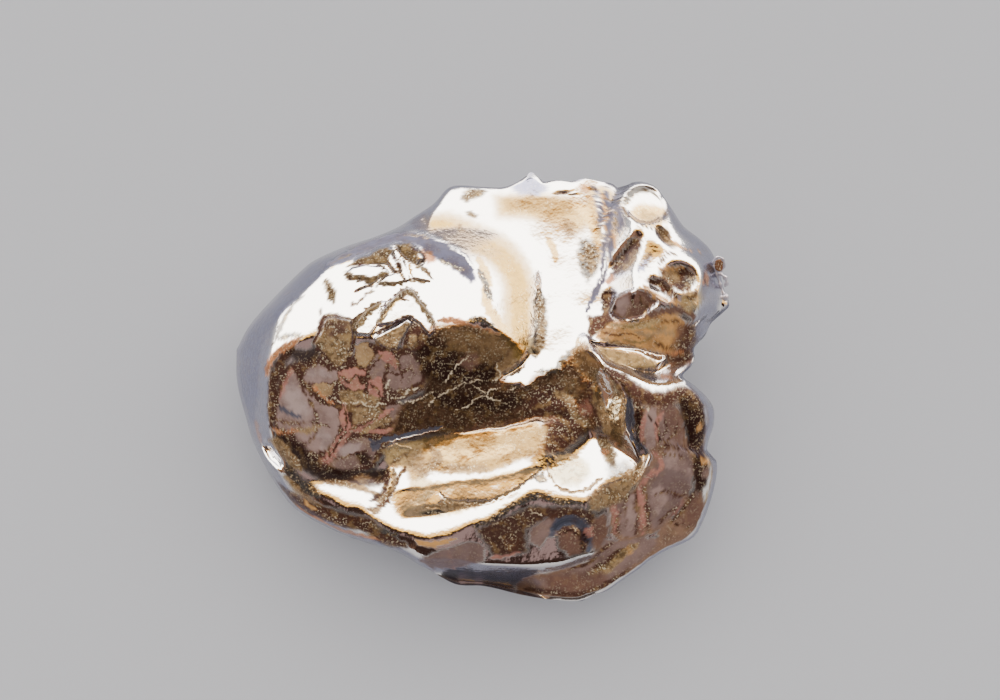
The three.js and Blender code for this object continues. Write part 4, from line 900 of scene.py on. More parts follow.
    streak("olive", 0.6, 0.35, (9.0, 0.85), (10.0, 0.55), (10.8, 0.5), (11.6, 0.45)),
    streak("orange", 0.6, 0.2, (10.5, 0.55), (11.2, 0.45)),
    # darker seams and shades of the apron and the lip
    patch("heather", 0.5, 0.3, (9.7, -5.2), (10.6, -4.4), (12.2, -4.0), (12.4, -6.2), (11.4, -7.4),
        (10.2, -8.6), (9.8, -7.0)),
    patch("dusk", 0.7, 0.12, (12.0, -6.6), (12.9, -6.3), (13.2, -7.4), (12.7, -8.4), (11.8, -8.3),
        (11.6, -7.6)),
    patch("dusk", 0.6, 0.25, (3.6, -11.4), (5.5, -11.2), (7.0, -11.0), (7.4, -11.8), (5.8, -12.5),
        (3.8, -12.3)),
    patch("heather", 0.5, 0.15, (-3.9, -10.4), (-2.6, -9.8), (-0.8, -9.3), (0.0, -9.6), (-0.1, -10.4),
        (-1.8, -10.9), (-3.2, -10.9)),
    patch("mauve", 0.7, 0.12, (10.6, -4.3), (11.4, -4.2), (12.1, -4.6), (12.2, -5.2), (11.4, -5.0),
        (10.8, -4.9)),
    patch("mauve", 0.6, 0.12, (9.9, -6.2), (10.5, -6.0), (10.9, -6.8), (10.3, -7.6), (9.9, -7.2)),
    patch("mauve", 0.6, 0.1, (8.5, -7.3), (8.9, -7.2), (9.0, -8.4), (8.6, -8.6)),
    streak("brown", 0.7, 0.22, (11.0, -8.2), (11.6, -7.7), (12.1, -7.0), (12.6, -6.2)),
    streak("umber", 0.6, 0.3, (2.4, -12.2), (4.0, -12.35), (5.6, -12.5), (7.0, -12.0), (8.4, -11.1)),
    streak("umber", 0.85, 0.16, (10.4, -3.8), (11.0, -3.62), (11.7, -3.72), (12.5, -3.6), rise=-0.04),
    streak("umber", 0.7, 0.12, (10.5, -4.1), (11.2, -4.15), (11.9, -4.4), rise=-0.02),
    streak("umber", 0.7, 0.12, (10.7, -3.5), (11.2, -3.0), (11.5, -2.3), rise=-0.02),
    streak("umber", 0.7, 0.12, (10.5, -3.4), (10.75, -2.7), (10.8, -1.9), rise=-0.02),
    streak("umber", 0.85, 0.16, (9.0, -6.2), (9.0, -7.2), (9.1, -8.0), (9.0, -8.9), rise=-0.03),
    streak("umber", 0.85, 0.18, (9.5, -5.9), (9.6, -6.8), (9.75, -7.8), (9.7, -8.7), rise=-0.03),
    streak("umber", 0.7, 0.16, (10.0, -6.6), (10.7, -6.3), (11.5, -6.6), (12.0, -6.4)),
    streak("umber", 0.7, 0.16, (10.4, -8.3), (10.9, -7.6), (11.5, -7.3)),
    streak("umber", 0.75, 0.16, (8.0, -8.9), (7.9, -8.1), (8.05, -7.3), rise=-0.02),
    streak("umber", 0.7, 0.2, (5.0, -11.0), (6.2, -10.6), (7.0, -9.8), (7.6, -9.4)),
    streak("black", 0.8, 0.25, (9.1, -1.2), (9.15, -2.0), (9.05, -2.8), (9.25, -3.6)),
    streak("pink", 0.95, 0.24, (9.3, -6.1), (9.35, -7.0), (9.45, -8.0), (9.4, -8.8), rise=0.03),
    streak("pink", 0.95, 0.22, (10.0, -3.9), (10.5, -4.5), (10.4, -5.05), (9.9, -5.3), (9.45, -5.9),
        rise=0.03),
    streak("moss", 0.6, 0.3, (6.6, -11.1), (7.4, -10.7), (8.1, -10.1), (8.7, -9.7)),
    # leaf ledge and the golden wall under the knobs
    patch("honey", 0.95, 0.12, (6.6, 2.4), (7.6, 2.1), (9.2, 1.8), (10.2, 1.45), (10.2, 1.0), (9.0, 1.0),
        (8.0, 1.2), (7.2, 1.6)),
    patch("gold", 0.9, 0.15, (7.2, 3.9), (9.0, 3.7), (9.5, 4.0), (10.3, 4.5), (11.5, 4.2), (12.2, 3.6),
        (12.5, 2.6), (12.2, 1.3), (11.2, 1.0), (10.9, 1.8), (9.0, 2.25), (7.5, 2.55), (6.7, 2.85)),
    patch("dusk", 0.75, 0.5, (11.0, 1.2), (11.4, 2.2), (11.6, 3.4), (12.3, 3.6), (12.6, 2.4),
        (12.2, 1.2)),
    patch("umber", 0.6, 0.4, (11.5, 1.3), (11.8, 2.4), (12.0, 3.6), (12.8, 3.5), (12.9, 2.2),
        (12.4, 1.2)),
    streak("dusk", 0.85, 0.45, (9.6, 4.1), (10.3, 4.35), (11.2, 4.5), (12.0, 4.4), (12.6, 3.9)),
    streak("brown", 0.45, 0.2, (9.3, 3.75), (10.0, 3.9), (10.8, 3.8), (11.8, 3.9)),
    streak("ochre", 0.8, 0.25, (9.0, 3.2), (9.8, 3.0), (10.6, 3.2), (11.4, 3.0)),
    streak("honey", 0.7, 0.3, (7.6, 3.6), (8.6, 3.5), (9.6, 3.6), (10.6, 3.9)),
    streak("brown", 0.5, 0.22, (10.2, 2.6), (10.9, 2.2), (11.6, 2.4), (12.2, 2.1)),
    streak("brown", 0.5, 0.2, (10.9, 1.8), (11.3, 1.5), (11.9, 1.6)),
    streak("brown", 0.5, 0.12, (7.0, 3.2), (7.8, 3.0), (8.6, 3.1), (9.3, 2.8)),
    streak("cream", 0.7, 0.1, (7.0, 3.5), (8.0, 3.4), (8.9, 3.5), (9.4, 3.8)),
    streak("cream", 0.6, 0.12, (8.3, 2.7), (9.3, 2.55), (10.1, 2.9)),
    streak("cream", 0.6, 0.1, (9.4, 3.4), (10.4, 3.4), (11.1, 3.4)),
    streak("orange", 0.6, 0.14, (10.5, 2.0), (11.2, 1.9), (12.0, 2.0)),
    streak("olive", 0.6, 0.16, (6.9, 2.8), (8.0, 2.5), (9.4, 2.25)),
    # knobs
    patch("dusk", 0.95, 0.05, (7.8, 5.2), (8.1, 5.5), (8.5, 5.6), (9.0, 5.5), (9.3, 5.8), (9.7, 5.5),
        (10.3, 5.0), (9.9, 4.6), (9.5, 4.15), (9.0, 3.95), (8.2, 3.95), (7.6, 4.1)),
    streak("black", 0.8, 0.1, (8.9, 5.5), (8.8, 5.0), (9.0, 4.6)),
    streak("black", 0.8, 0.12, (9.4, 5.4), (9.3, 4.9), (9.8, 4.7)),
    patch("mauve", 0.6, 0.15, (7.9, 5.0), (8.5, 5.4), (8.7, 4.8), (8.3, 4.2), (7.9, 4.3)),
    patch("black", 0.9, 0.08, (7.1, 5.7), (7.9, 5.6), (7.6, 5.1), (7.8, 4.7), (7.5, 4.3), (7.0, 4.5),
        (7.0, 5.2)),
    patch("brown", 0.85, 0.1, (6.2, 4.1), (6.8, 4.1), (7.3, 4.5), (7.7, 3.9), (7.2, 3.5), (6.6, 3.0),
        (6.2, 2.8)),
    streak("gold", 0.9, 0.26, (9.4, 6.0), (10.1, 5.45), (10.9, 5.05), (12.1, 4.85)),
    streak("cream", 0.95, 0.08, (10.35, 5.0), (9.9, 4.6), (9.5, 4.2), (9.0, 3.9), (8.2, 3.85), rise=0.05),
    patch("brown", 0.9, 0.07, (9.6, 6.3), (10.4, 6.4), (10.9, 6.0), (11.4, 5.5), (11.5, 5.2), (11.1, 5.2),
        (10.6, 5.6), (9.9, 6.0)),
    patch("brown", 0.9, 0.12, (7.5, 6.5), (8.0, 7.4), (8.4, 8.2), (8.7, 8.8), (9.3, 8.8), (9.45, 8.4),
        (9.0, 7.9), (8.8, 7.4), (8.4, 6.9), (8.0, 6.7)),
    streak("olive", 0.8, 0.35, (8.3, 6.9), (8.8, 7.4), (9.1, 8.0)),
    streak("black", 0.8, 0.35, (7.7, 7.0), (8.3, 7.7), (8.8, 8.4), (9.1, 8.6)),
    patch("orange", 0.6, 0.12, (7.2, 6.2), (7.6, 6.6), (7.9, 6.4), (7.5, 6.1)),
    # painted bluish reflection on the knobs
    streak("lilacReflection", 0.9, 0.38, (9.2, 6.8), (9.6, 7.3), (9.9, 7.9)),
    patch("brown", 0.95, 0.12, (10.5, 6.9), (11.2, 7.1), (11.9, 7.1), (12.5, 6.7), (12.6, 6.2),
        (12.2, 5.6), (11.6, 5.6), (11.0, 6.0), (10.5, 6.4)),
    patch("olive", 0.5, 0.2, (10.8, 6.8), (11.5, 6.8), (11.6, 6.2), (11.0, 6.2)),
    patch("smoke", 0.5, 0.15, (12.0, 6.6), (12.6, 6.4), (12.4, 6.0), (11.9, 6.0)),
    streak("brown", 0.85, 0.13, (10.4, 7.25), (10.7, 7.6), (11.0, 7.85), (11.5, 7.9), rise=-0.05),
    streak("gold", 0.6, 0.2, (10.5, 6.95), (11.2, 7.0), (11.8, 7.05)),
    patch("honey", 0.8, 0.15, (11.7, 5.3), (12.3, 5.6), (12.75, 5.4), (12.7, 4.6), (12.1, 4.4),
        (11.7, 4.8)),
    streak("linen", 0.9, 0.4, (12.3, 4.7), (12.8, 5.0), (13.05, 5.6), (13.1, 6.2)),
    streak("brown", 0.6, 0.25, (12.0, 5.3), (12.4, 5.2), (12.7, 5.6)),
    patch("orange", 0.9, 0.07, (13.05, 6.0), (13.05, 6.7), (13.25, 6.85), (13.4, 6.4), (13.3, 6.0)),
    streak("umber", 0.8, 0.12, (13.2, 6.75), (13.12, 6.35), (13.2, 6.1)),
    streak("linen", 0.95, 0.1, (13.25, 6.9), (13.45, 6.5), (13.42, 6.1), (13.2, 5.85)),
    patch("olive", 0.9, 0.1, (10.2, 9.3), (11.0, 9.4), (11.0, 8.9), (11.6, 8.3), (11.1, 8.3),
        (10.6, 8.7)),
    streak("gold", 0.6, 0.14, (11.2, 8.7), (12.0, 8.15), (13.0, 8.0)),
    # disc
    patch("cream", 0.95, 0.2, (8.8, 10.4), (9.3, 10.9), (10.9, 10.6), (10.9, 9.9), (10.4, 9.5),
        (9.6, 9.6), (9.0, 10.0)),
    patch("honey", 0.5, 0.2, (9.1, 10.3), (9.6, 10.5), (10.6, 10.3), (10.7, 9.9), (10.2, 9.7),
        (9.6, 9.75)),
    # painted light and shade inside the disc's frame: a pale highlight and a moss shade on its upper inner
    # wall
    streak("pearlHighlight", 0.8, 0.45, (8.45, 10.9), (8.6, 11.3), (9.0, 11.65), (9.5, 11.85), (10.1, 11.75),
        (10.6, 11.3)),
    streak("umber", 0.8, 0.11, (8.4, 10.9), (8.4, 10.5), (8.7, 10.1), (9.3, 9.65), (10.0, 9.4),
        (10.9, 9.5)),
    streak("moss", 0.7, 0.1, (8.75, 11.25), (9.2, 11.65), (9.8, 11.75), (10.4, 11.4), (10.85, 10.9)),
    patch("brown", 0.9, 0.05, (10.8, 10.4), (11.0, 10.4), (11.0, 10.15), (10.8, 10.2), rise=-0.08),
    # the wrinkled column beside the trough
    patch("tan", 0.6, 0.3, (6.2, 12.0), (7.4, 12.0), (8.2, 11.2), (8.3, 9.8), (7.9, 8.6), (7.5, 7.4),
        (6.7, 7.4), (6.6, 9.0), (6.2, 10.6)),
    # painted bluish reflection along the wrinkled column
    streak("lavenderReflection", 0.85, 0.34, (6.6, 12.0), (6.8, 11.2), (7.0, 10.3), (6.95, 9.3), (7.2, 8.3),
        (7.15, 7.4), (7.1, 6.5), (6.6, 5.5), (6.1, 4.4)),
    streak("lavenderReflection", 0.85, 0.3, (7.4, 12.0), (7.3, 11.2), (7.6, 10.4), (7.45, 9.4), (7.6, 8.4),
        (7.5, 7.5)),
    streak("lavenderReflection", 0.8, 0.32, (7.9, 11.6), (7.9, 10.8), (8.2, 10.0), (8.1, 9.2)),
    streak("clean", 0.9, 0.1, (6.75, 11.6), (6.9, 10.8), (7.05, 9.9), (7.1, 8.9), (7.3, 7.9), (7.15, 6.9),
        (6.8, 5.9)),
    streak("gold", 0.6, 0.14, (7.1, 11.5), (7.2, 10.7), (7.25, 9.9), (7.2, 9.1)),
    streak("gold", 0.5, 0.18, (6.4, 11.4), (6.5, 10.6), (6.7, 9.8), (6.7, 8.8)),
    streak("brown", 0.6, 0.08, (6.2, 11.9), (6.9, 11.7), (7.4, 11.2), (8.0, 11.4), rise=-0.05),
    streak("gold", 0.6, 0.16, (7.6, 9.3), (7.8, 8.7), (7.8, 8.2)),
    # trough and far lip
    streak("tan", 0.5, 2.0, (-4.0, 9.9), (-2.5, 9.5), (-1.0, 8.9), (0.7, 8.1), (1.6, 7.1), (2.0, 6.0),
        (2.0, 4.6), (2.0, 3.2), (2.2, 1.9)),
    streak("tan", 0.85, 0.95, (-4.2, 9.65), (-2.5, 9.4), (-1.0, 8.7), (0.6, 8.0), (1.5, 7.1), (2.0, 6.0),
        (2.1, 4.6), (2.1, 3.2), (2.3, 1.9)),
    streak("cream", 0.8, 0.55, (-0.4, 7.6), (0.1, 6.4), (0.1, 5.0), (0.8, 3.7), (1.6, 2.7)),
    streak("smoke", 0.85, 0.36, (-0.4, 6.9), (0.0, 6.2), (0.2, 5.5), (0.4, 5.1)),
    streak("smoke", 0.75, 0.75, (3.3, 5.6), (3.3, 4.6), (3.35, 3.6), (3.2, 2.6), (3.0, 1.8)),
    patch("tan", 0.6, 0.45, (0.6, 11.4), (3.0, 11.5), (5.4, 11.3), (6.4, 11.0), (6.6, 9.8), (5.6, 9.2),
        (4.2, 9.6), (2.5, 10.1), (0.8, 10.2)),
    patch("amber", 0.7, 0.35, (1.2, 11.2), (3.0, 11.3), (5.0, 11.1), (5.4, 10.4), (4.2, 10.2),
        (2.5, 10.6), (1.4, 10.6)),
    streak("cream", 0.8, 0.6, (5.4, 10.8), (6.2, 10.4), (6.6, 9.4), (6.9, 8.4)),
    streak("cream", 0.7, 0.4, (3.7, 8.9), (4.1, 8.3), (4.3, 7.4)),
    patch("olive", 0.5, 0.2, (4.7, 10.1), (5.3, 9.8), (5.4, 9.0), (4.9, 9.0)),
    patch("smoke", 0.7, 0.2, (5.8, 8.8), (6.4, 8.7), (6.8, 8.0), (6.8, 7.0), (6.2, 6.2), (5.8, 6.8),
        (5.6, 7.8)),
    patch("smoke", 0.95, 0.15, *farNotch),
    patch("moss", 0.5, 0.15, *farNotch),
    patch("smoke", 0.7, 0.12, *farPit),
    patch("moss", 0.4, 0.12, *farPit),
    streak("moss", 0.35, 0.42, (3.3, 5.2), (3.35, 4.6), (3.4, 3.6), (3.3, 2.6), (3.1, 1.8)),
    streak("moss", 0.3, 0.5, (6.2, 8.3), (6.4, 7.6), (6.4, 6.8)),
    patch("olive", 0.6, 0.15, (-1.9, 9.5), (-1.5, 9.7), (-1.2, 9.3), (-1.5, 9.1)),
    # painted bluish reflection at the far lip
    patch("lilacReflection", 0.7, 0.2, (1.6, 12.0), (2.6, 12.6), (3.2, 12.5), (3.8, 11.9), (3.2, 11.5),
        (2.0, 11.6)),
    streak("brown", 0.85, 0.13, (4.0, 11.55), (4.6, 11.6), (5.2, 11.6), (5.4, 11.4), rise=-0.1),
    patch("gold", 0.5, 0.15, (5.7, 12.1), (6.2, 12.2), (6.3, 11.8), (5.8, 11.7)),
    # flank of the left lobe
    # painted bluish reflection on the steep flank: lilac along the rim, lavender on the upper side
    streak("lilacReflection", 0.8, 1.2, (-14.0, -2.0), (-14.2, 0.5), (-13.9, 2.6), (-12.8, 4.4), (-11.0, 6.4),
        (-9.4, 7.4)),
    patch("lavenderReflection", 0.95, 0.12, (-9.6, 7.2), (-8.6, 7.9), (-7.0, 8.7), (-5.5, 9.1), (-4.2, 9.25),
        (-3.0, 8.85), (-1.7, 8.25), (-1.05, 7.75), (-0.7, 7.0), (-0.62, 6.3), (-0.8, 6.15),
        (-1.5, 6.75),
        (-2.4, 7.3), (-3.3, 7.75), (-4.0, 8.4), (-5.4, 8.6), (-6.5, 8.3), (-7.6, 7.75), (-8.6, 7.3)),
    streak("cream", 0.8, 0.08, (-9.2, 7.35), (-8.3, 7.7), (-7.3, 8.0), rise=0.03),
    streak("cream", 0.8, 0.1, (-8.5, 8.1), (-7.6, 8.45), (-7.0, 8.7), rise=0.03),
    streak("cream", 0.7, 0.07, (-9.6, 6.9), (-8.8, 7.2), (-7.9, 7.5), rise=0.02),
    streak("cream", 0.8, 0.09, (-5.0, 9.0), (-4.0, 9.0), (-3.2, 8.8), rise=0.03),
    streak("clean", 1.0, 0.14, (-6.3, 9.1), (-4.6, 9.3), (-3.0, 8.85), (-1.8, 8.2), (-1.0, 7.5),
        (-0.5, 6.6), rise=0.04),
    streak("smoke", 0.7, 0.2, (-2.8, 7.55), (-2.1, 7.2), (-1.3, 6.85)),
    patch("orange", 0.6, 0.12, (-3.9, 8.1), (-3.2, 8.0), (-3.0, 7.5), (-3.4, 7.3)),
    # crusts of the chips, and painted shadows along their lower edges and walls
    patch("olive", 0.95, 0.04, *chips[0]["corners"]),
    patch("dusk", 0.5, 0.15, (-9.4, 3.8), (-8.1, 3.7), (-8.2, 3.1), (-9.2, 2.9), (-9.7, 3.1)),
    streak("umber", 1.0, 0.28, (-9.95, 3.0), (-9.8, 3.4), (-9.62, 3.95), (-9.2, 4.15), (-8.5, 4.0),
        (-7.95, 3.92)),
    streak("umber", 1.0, 0.24, (-9.8, 3.3), (-10.15, 2.6), (-9.75, 2.0), (-9.3, 1.45), (-8.75, 0.95),
        (-8.25, 1.3), (-7.95, 2.1), (-7.8, 2.9), (-7.95, 3.5)),
    patch("olive", 0.9, 0.05, (-6.5, 2.75), (-6.0, 3.05), (-5.2, 3.4), (-4.6, 3.85), (-4.4, 3.7),
        (-4.95, 2.9), (-5.25, 2.15), (-5.6, 2.2), (-6.2, 2.45)),
    streak("umber", 0.95, 0.16, (-6.6, 3.0), (-6.0, 3.3), (-5.3, 3.75), (-4.6, 4.05), (-4.1, 3.85),
        rise=-0.05),
    streak("umber", 0.85, 0.1, (-6.65, 2.75), (-6.2, 2.35), (-5.6, 2.05), (-5.15, 2.0), rise=-0.03),
    patch("umber", 0.9, 0.08, (-4.3, 3.8), (-3.7, 3.4), (-3.4, 2.9), (-3.6, 2.4), (-4.2, 2.0),
        (-4.9, 2.1), (-4.8, 2.9)),
    patch("olive", 0.9, 0.05, (-4.5, 3.0), (-4.1, 3.05), (-4.0, 2.7), (-4.3, 2.25), (-4.55, 2.35)),
    patch("moss", 1.0, 0.06, (-6.45, 3.7), (-6.2, 4.35), (-5.65, 5.0), (-5.0, 5.7), (-4.65, 5.85),
        (-4.55, 5.5), (-4.9, 5.15), (-5.3, 4.9), (-5.7, 4.4), (-6.0, 3.9)),
    streak("cream", 0.8, 0.08, (-6.1, 4.0), (-5.6, 4.6), (-5.0, 5.15)),
    streak("umber", 0.7, 0.07, (-6.4, 4.2), (-5.9, 4.9), (-5.2, 5.55), (-4.7, 5.85), (-4.2, 5.65),
        (-3.7, 4.9), (-3.1, 4.05), rise=-0.04),
    streak("moss", 1.0, 0.34, (-4.6, 5.65), (-4.2, 5.35), (-3.75, 4.75), (-3.3, 4.1), (-3.1, 3.6)),
    streak("umber", 0.8, 0.07, (-4.9, 5.5), (-4.95, 5.2), (-4.6, 5.0), rise=-0.03),
    streak("umber", 0.8, 0.08, (-3.0, 3.9), (-3.0, 3.2), (-3.25, 2.8)),
    patch("moss", 1.0, 0.06, (-8.0, 3.5), (-7.9, 3.95), (-7.4, 4.35), (-6.9, 4.75), (-6.2, 5.0),
        (-6.2, 4.8), (-6.8, 4.2), (-7.3, 3.6), (-7.7, 3.2)),
    streak("umber", 0.8, 0.07, (-8.0, 3.7), (-7.5, 4.2), (-6.9, 4.7), (-6.2, 5.0), rise=-0.04),
    streak("umber", 0.7, 0.16, (-8.0, 4.75), (-7.6, 4.95), (-7.0, 5.5), (-6.5, 5.6), rise=-0.03),
    streak("umber", 0.7, 0.06, (-7.4, 5.85), (-6.5, 5.95), (-5.5, 6.02), (-4.8, 6.12), rise=-0.03),
    streak("moss", 1.0, 0.34, (-8.4, 6.75), (-8.0, 6.45), (-7.5, 6.45), (-7.1, 6.4), (-6.9, 6.05)),
    streak("moss", 0.9, 0.26, (-6.9, 6.1), (-6.6, 6.35), (-6.2, 6.6), (-5.8, 6.75)),
    streak("umber", 0.9, 0.1, (-8.2, 6.35), (-7.6, 6.25), (-7.2, 6.15), (-7.0, 5.8)),
    streak("moss", 0.6, 0.22, (-6.9, 6.3), (-6.5, 6.45), (-6.1, 6.55)),
    patch("moss", 0.95, 0.06, *chips[11]["corners"]),
    streak("umber", 0.8, 0.08, (-8.3, 7.1), (-7.4, 7.25), (-6.5, 7.3), (-5.95, 7.15)),
    streak("umber", 0.85, 0.12, (-5.95, 7.5), (-5.5, 6.9), (-5.1, 6.6)),
    streak("umber", 0.85, 0.12, (-5.5, 7.9), (-5.3, 7.3), (-5.05, 6.8)),
    streak("umber", 0.8, 0.1, (-5.2, 7.6), (-5.05, 6.9), (-4.75, 6.2)),
    streak("moss", 1.0, 0.2, (-6.5, 6.15), (-5.6, 6.05), (-4.8, 6.15)),
    streak("moss", 0.7, 0.14, (-4.6, 6.3), (-4.0, 6.2), (-3.3, 6.15)),
    streak("moss", 0.8, 0.22, (-4.1, 7.1), (-3.6, 6.9), (-3.2, 6.4)),
    patch("moss", 0.95, 0.06, (-5.4, 8.4), (-4.6, 8.5), (-4.2, 8.2), (-4.0, 7.8), (-4.1, 7.35),
        (-4.4, 7.3), (-5.0, 7.9)),
    streak("black", 0.95, 0.22, (-4.5, 8.3), (-4.0, 8.05), (-3.65, 7.6), (-4.0, 7.15), rise=-0.05),
    streak("umber", 0.7, 0.07, (-3.6, 7.0), (-3.3, 6.6), (-3.1, 6.3)),
    patch("moss", 1.0, 0.05, (-9.65, 6.4), (-9.2, 6.1), (-8.95, 5.5), (-8.95, 4.7), (-9.3, 5.1),
        (-9.55, 5.8)),
    streak("umber", 0.6, 0.05, (-9.7, 4.9), (-9.8, 4.4), (-9.8, 4.0)),
]

# Fine raised wrinkles that cross the valley
wrinkles = [
    [(-9.0, -0.8), (-8.3, -1.1), (-7.5, -1.0), (-6.7, -1.3), (-6.2, -1.1), (-5.8, -1.1)],
    [(-5.6, -0.8), (-4.9, -0.7), (-4.5, -0.3), (-3.9, -0.2)],
    [(-5.2, -1.1), (-4.0, -0.9), (-3.4, -0.5), (-2.9, -0.3)],
    [(-5.75, 0.3), (-5.85, -0.3), (-5.7, -1.0)],
    [(-3.5, -1.4), (-3.2, -1.0), (-2.7, -0.6), (-2.1, -0.3), (-1.6, -0.1), (-1.4, 0.1), (-0.8, 0.2),
        (-0.4, 0.35), (-0.1, 0.1)],
    [(-1.8, -1.5), (-1.1, -1.3), (-0.5, -0.8), (0.1, -0.6), (0.3, -0.3), (0.9, -0.15)],
    [(-2.4, 0.1), (-2.1, 0.6), (-2.0, 0.9)],
    [(0.0, -0.6), (0.5, -0.9), (0.95, -0.9)],
    [(0.5, 0.3), (0.9, 0.5), (0.8, 1.0), (0.7, 1.4)],
    [(1.4, -0.3), (1.9, -0.1)],
    [(-1.9, 0.9), (-1.5, 1.3), (-0.9, 1.8)],
    [(-0.7, -0.1), (-0.2, -0.3), (0.1, -0.6)],
    [(2.6, -7.4), (3.0, -7.55), (3.4, -7.7)],
    [(9.0, -1.3), (9.5, -1.35), (9.8, -1.45)],
]


# How much of a mark lies at each point, from 0 to 1
def markShare(x, y, mark):
    corners = np.array(mark.get("area") or mark["line"], float)
    pad = mark.get("width", 0) / 2 + mark.get("edge", 0) + 0.35
    near = (x > corners[:, 0].min() - pad) & (x < corners[:, 0].max() + pad)
    near &= (y > corners[:, 1].min() - pad) & (y < corners[:, 1].max() + pad)
    share = np.zeros(x.shape)
    if "area" in mark:
        share[near] = ramp(insideBy(x[near], y[near], corners), -mark["edge"], mark["edge"])
    else:
        away, along = nearPath(x[near], y[near], corners)
        half = mark["width"] / 2 * (0.45 + 0.55 * ramp(along, 0, 0.15) * ramp(1 - along, 0, 0.15))
        share[near] = 1 - ramp(np.abs(away), half * 0.55, half * 1.35)
    return share


# How the stains meet the skin
paint = {
    "frayAcross": ((0.06, 0.55, 21), (0.036, 0.27, 22)),  # how far the edges wander
    "frayAlong": ((0.06, 0.55, 23), (0.036, 0.27, 24)),
    "outlineAt": 0.25,  # share of a stain at which its brown outline lies
    "outlineWidth": 0.22,
    "outlineSkin": (0.8, 0.3),  # dullness and grit
    "wrinkleWidth": 0.06,
    "wrinkleRise": 0.035,
    "wrinkleSkin": (1.0, 0.84, 0.58, 0.6, 0.0),
    "grain": ((0.016, 0.42, 31), (0.012, 0.25, 33)),  # relief of the gritty skin
}


def paintFace(x0, y0):
    x = x0 + waves(x0, y0, paint["frayAcross"])
    y = y0 + waves(x0, y0, paint["frayAlong"])
    skin = np.tile(np.array([*tones["clean"][0], 0.0, 0.0]), (len(x), 1))
    rise = np.zeros(len(x))
    for tone, amount, mark in stainsAndPaintedLight:
        share = markShare(x, y, mark)
        if "rim" in mark:
            near = (share - paint["outlineAt"]) / paint["outlineWidth"]
            line = mark["rim"] * (np.exp(-(near**2)) * (share > 0.001))
            skin += (np.array([*tones["brown"][0], *paint["outlineSkin"]]) - skin) * line[:, None]
            share = ramp(share, 0.3, 0.9)
        tint, dull, grit = tones[tone]
        part = amount * share
        skin[:, :3] += (np.array(tint) - skin[:, :3]) * (1 - (1 - part) ** 3)[:, None]
        skin[:, 3:] += (np.array([dull, grit]) - skin[:, 3:]) * part[:, None]
        rise += mark.get("rise", 0) * share
    for line in wrinkles:
        share = markShare(x, y, {"line": line, "width": paint["wrinkleWidth"]})
        skin += (np.array(paint["wrinkleSkin"]) - skin) * share[:, None]
        rise += paint["wrinkleRise"] * share
    rise += skin[:, 4] * waves(x0, y0, paint["grain"])
    return skin, rise


# The round framed disc at the upper right
disc = {
    "centre": (9.75, 10.85, -1.9),
    "radii": (1.3, 1.15),
    "fall": 26,
    "bearing": 75,
    "frameLift": 0.12,
    "frameEdge": 1.12,  # in radii of the disc
    "frameFall": 1.5,
    "floorEdge": (-0.10, 0.16),
    "beadAt": 1.08,
    "beadWidth": 0.11,
    "beadHeight": 0.06,
}


def withDisc(x, y, height):
    across, along, _ = disc["centre"]
    radius = np.hypot((x - across) / disc["radii"][0], (y - along) / disc["radii"][1])
    level = slope(x, y, disc["centre"], disc["fall"], disc["bearing"])
    frameTop = level + disc["frameLift"] - disc["frameFall"] * np.maximum(radius - disc["frameEdge"], 0)
    height = smoothMax(height, frameTop, 0.3)
    height = height + (level - height) * ramp(1 - radius, *disc["floorEdge"])
    return height + disc["beadHeight"] * np.exp(-(((radius - disc["beadAt"]) / disc["beadWidth"]) ** 2))


# All forms of the upper face together
def faceHeight(x0, y0):
    x = x0 + waves(x0, y0, nugget["wanderAcross"])
    y = y0 + waves(x0, y0, nugget["wanderAlong"])
    hollow = smoothMin(trough(x, y), basin(x, y), 0.7) - 0.6 * np.maximum(-8 - x, 0)
    height = smoothMax(hollow, shoulder(x, y), 0.35)
    height = smoothMax(height, innerFold(x, y), 0.2)
    height = smoothMax(height, frontRoll(x, y) + crater(x, y), 0.22)
    height = smoothMax(height, lowerLip(x, y), 0.2)
    height = smoothMax(height, leftLobe(x, y), 0.35)
    height = smoothMax(height, apron(x, y), 0.2)
    height = smoothMax(height, lip(x, y), 0.15)
    height = smoothMax(height, knobs(x, y), 0.3)
    height = withDisc(x0, y0, withInsets(x0, y0, height))
    return height + waves(x0, y0, nugget["faceWaves"])


# The outline seen from above, as a radius at each angle
def rimRadius(angle):
    rim = sampled(outline + outline[:1], 6)
    turn = np.arctan2(rim[:, 1], rim[:, 0])
    order = np.argsort(turn)
    reach = np.hypot(rim[:, 0], rim[:, 1])
    return nugget["spread"] * np.interp(angle, turn[order], reach[order], period=2 * math.pi)


def rimHeight(angle):
    swing = nugget["rimSwingSide"] * np.cos(angle) - nugget["rimSwingFront"] * np.sin(angle)
    return nugget["rimMean"] + swing + nugget["rimRipple"] * np.sin(3 * angle + 1)


def underside(x, y):
    lumps = waves(x, y, nugget["bellyWaves"])
    return -nugget["underDepth"] - y * math.tan(math.radians(pose["leanBack"])) + lumps


def fullness(angle):
    mean, broad, fine = nugget["bellyFullness"]
    return mean + broad * np.sin(3 * angle + 0.6) + fine * np.sin(5 * angle + 2)


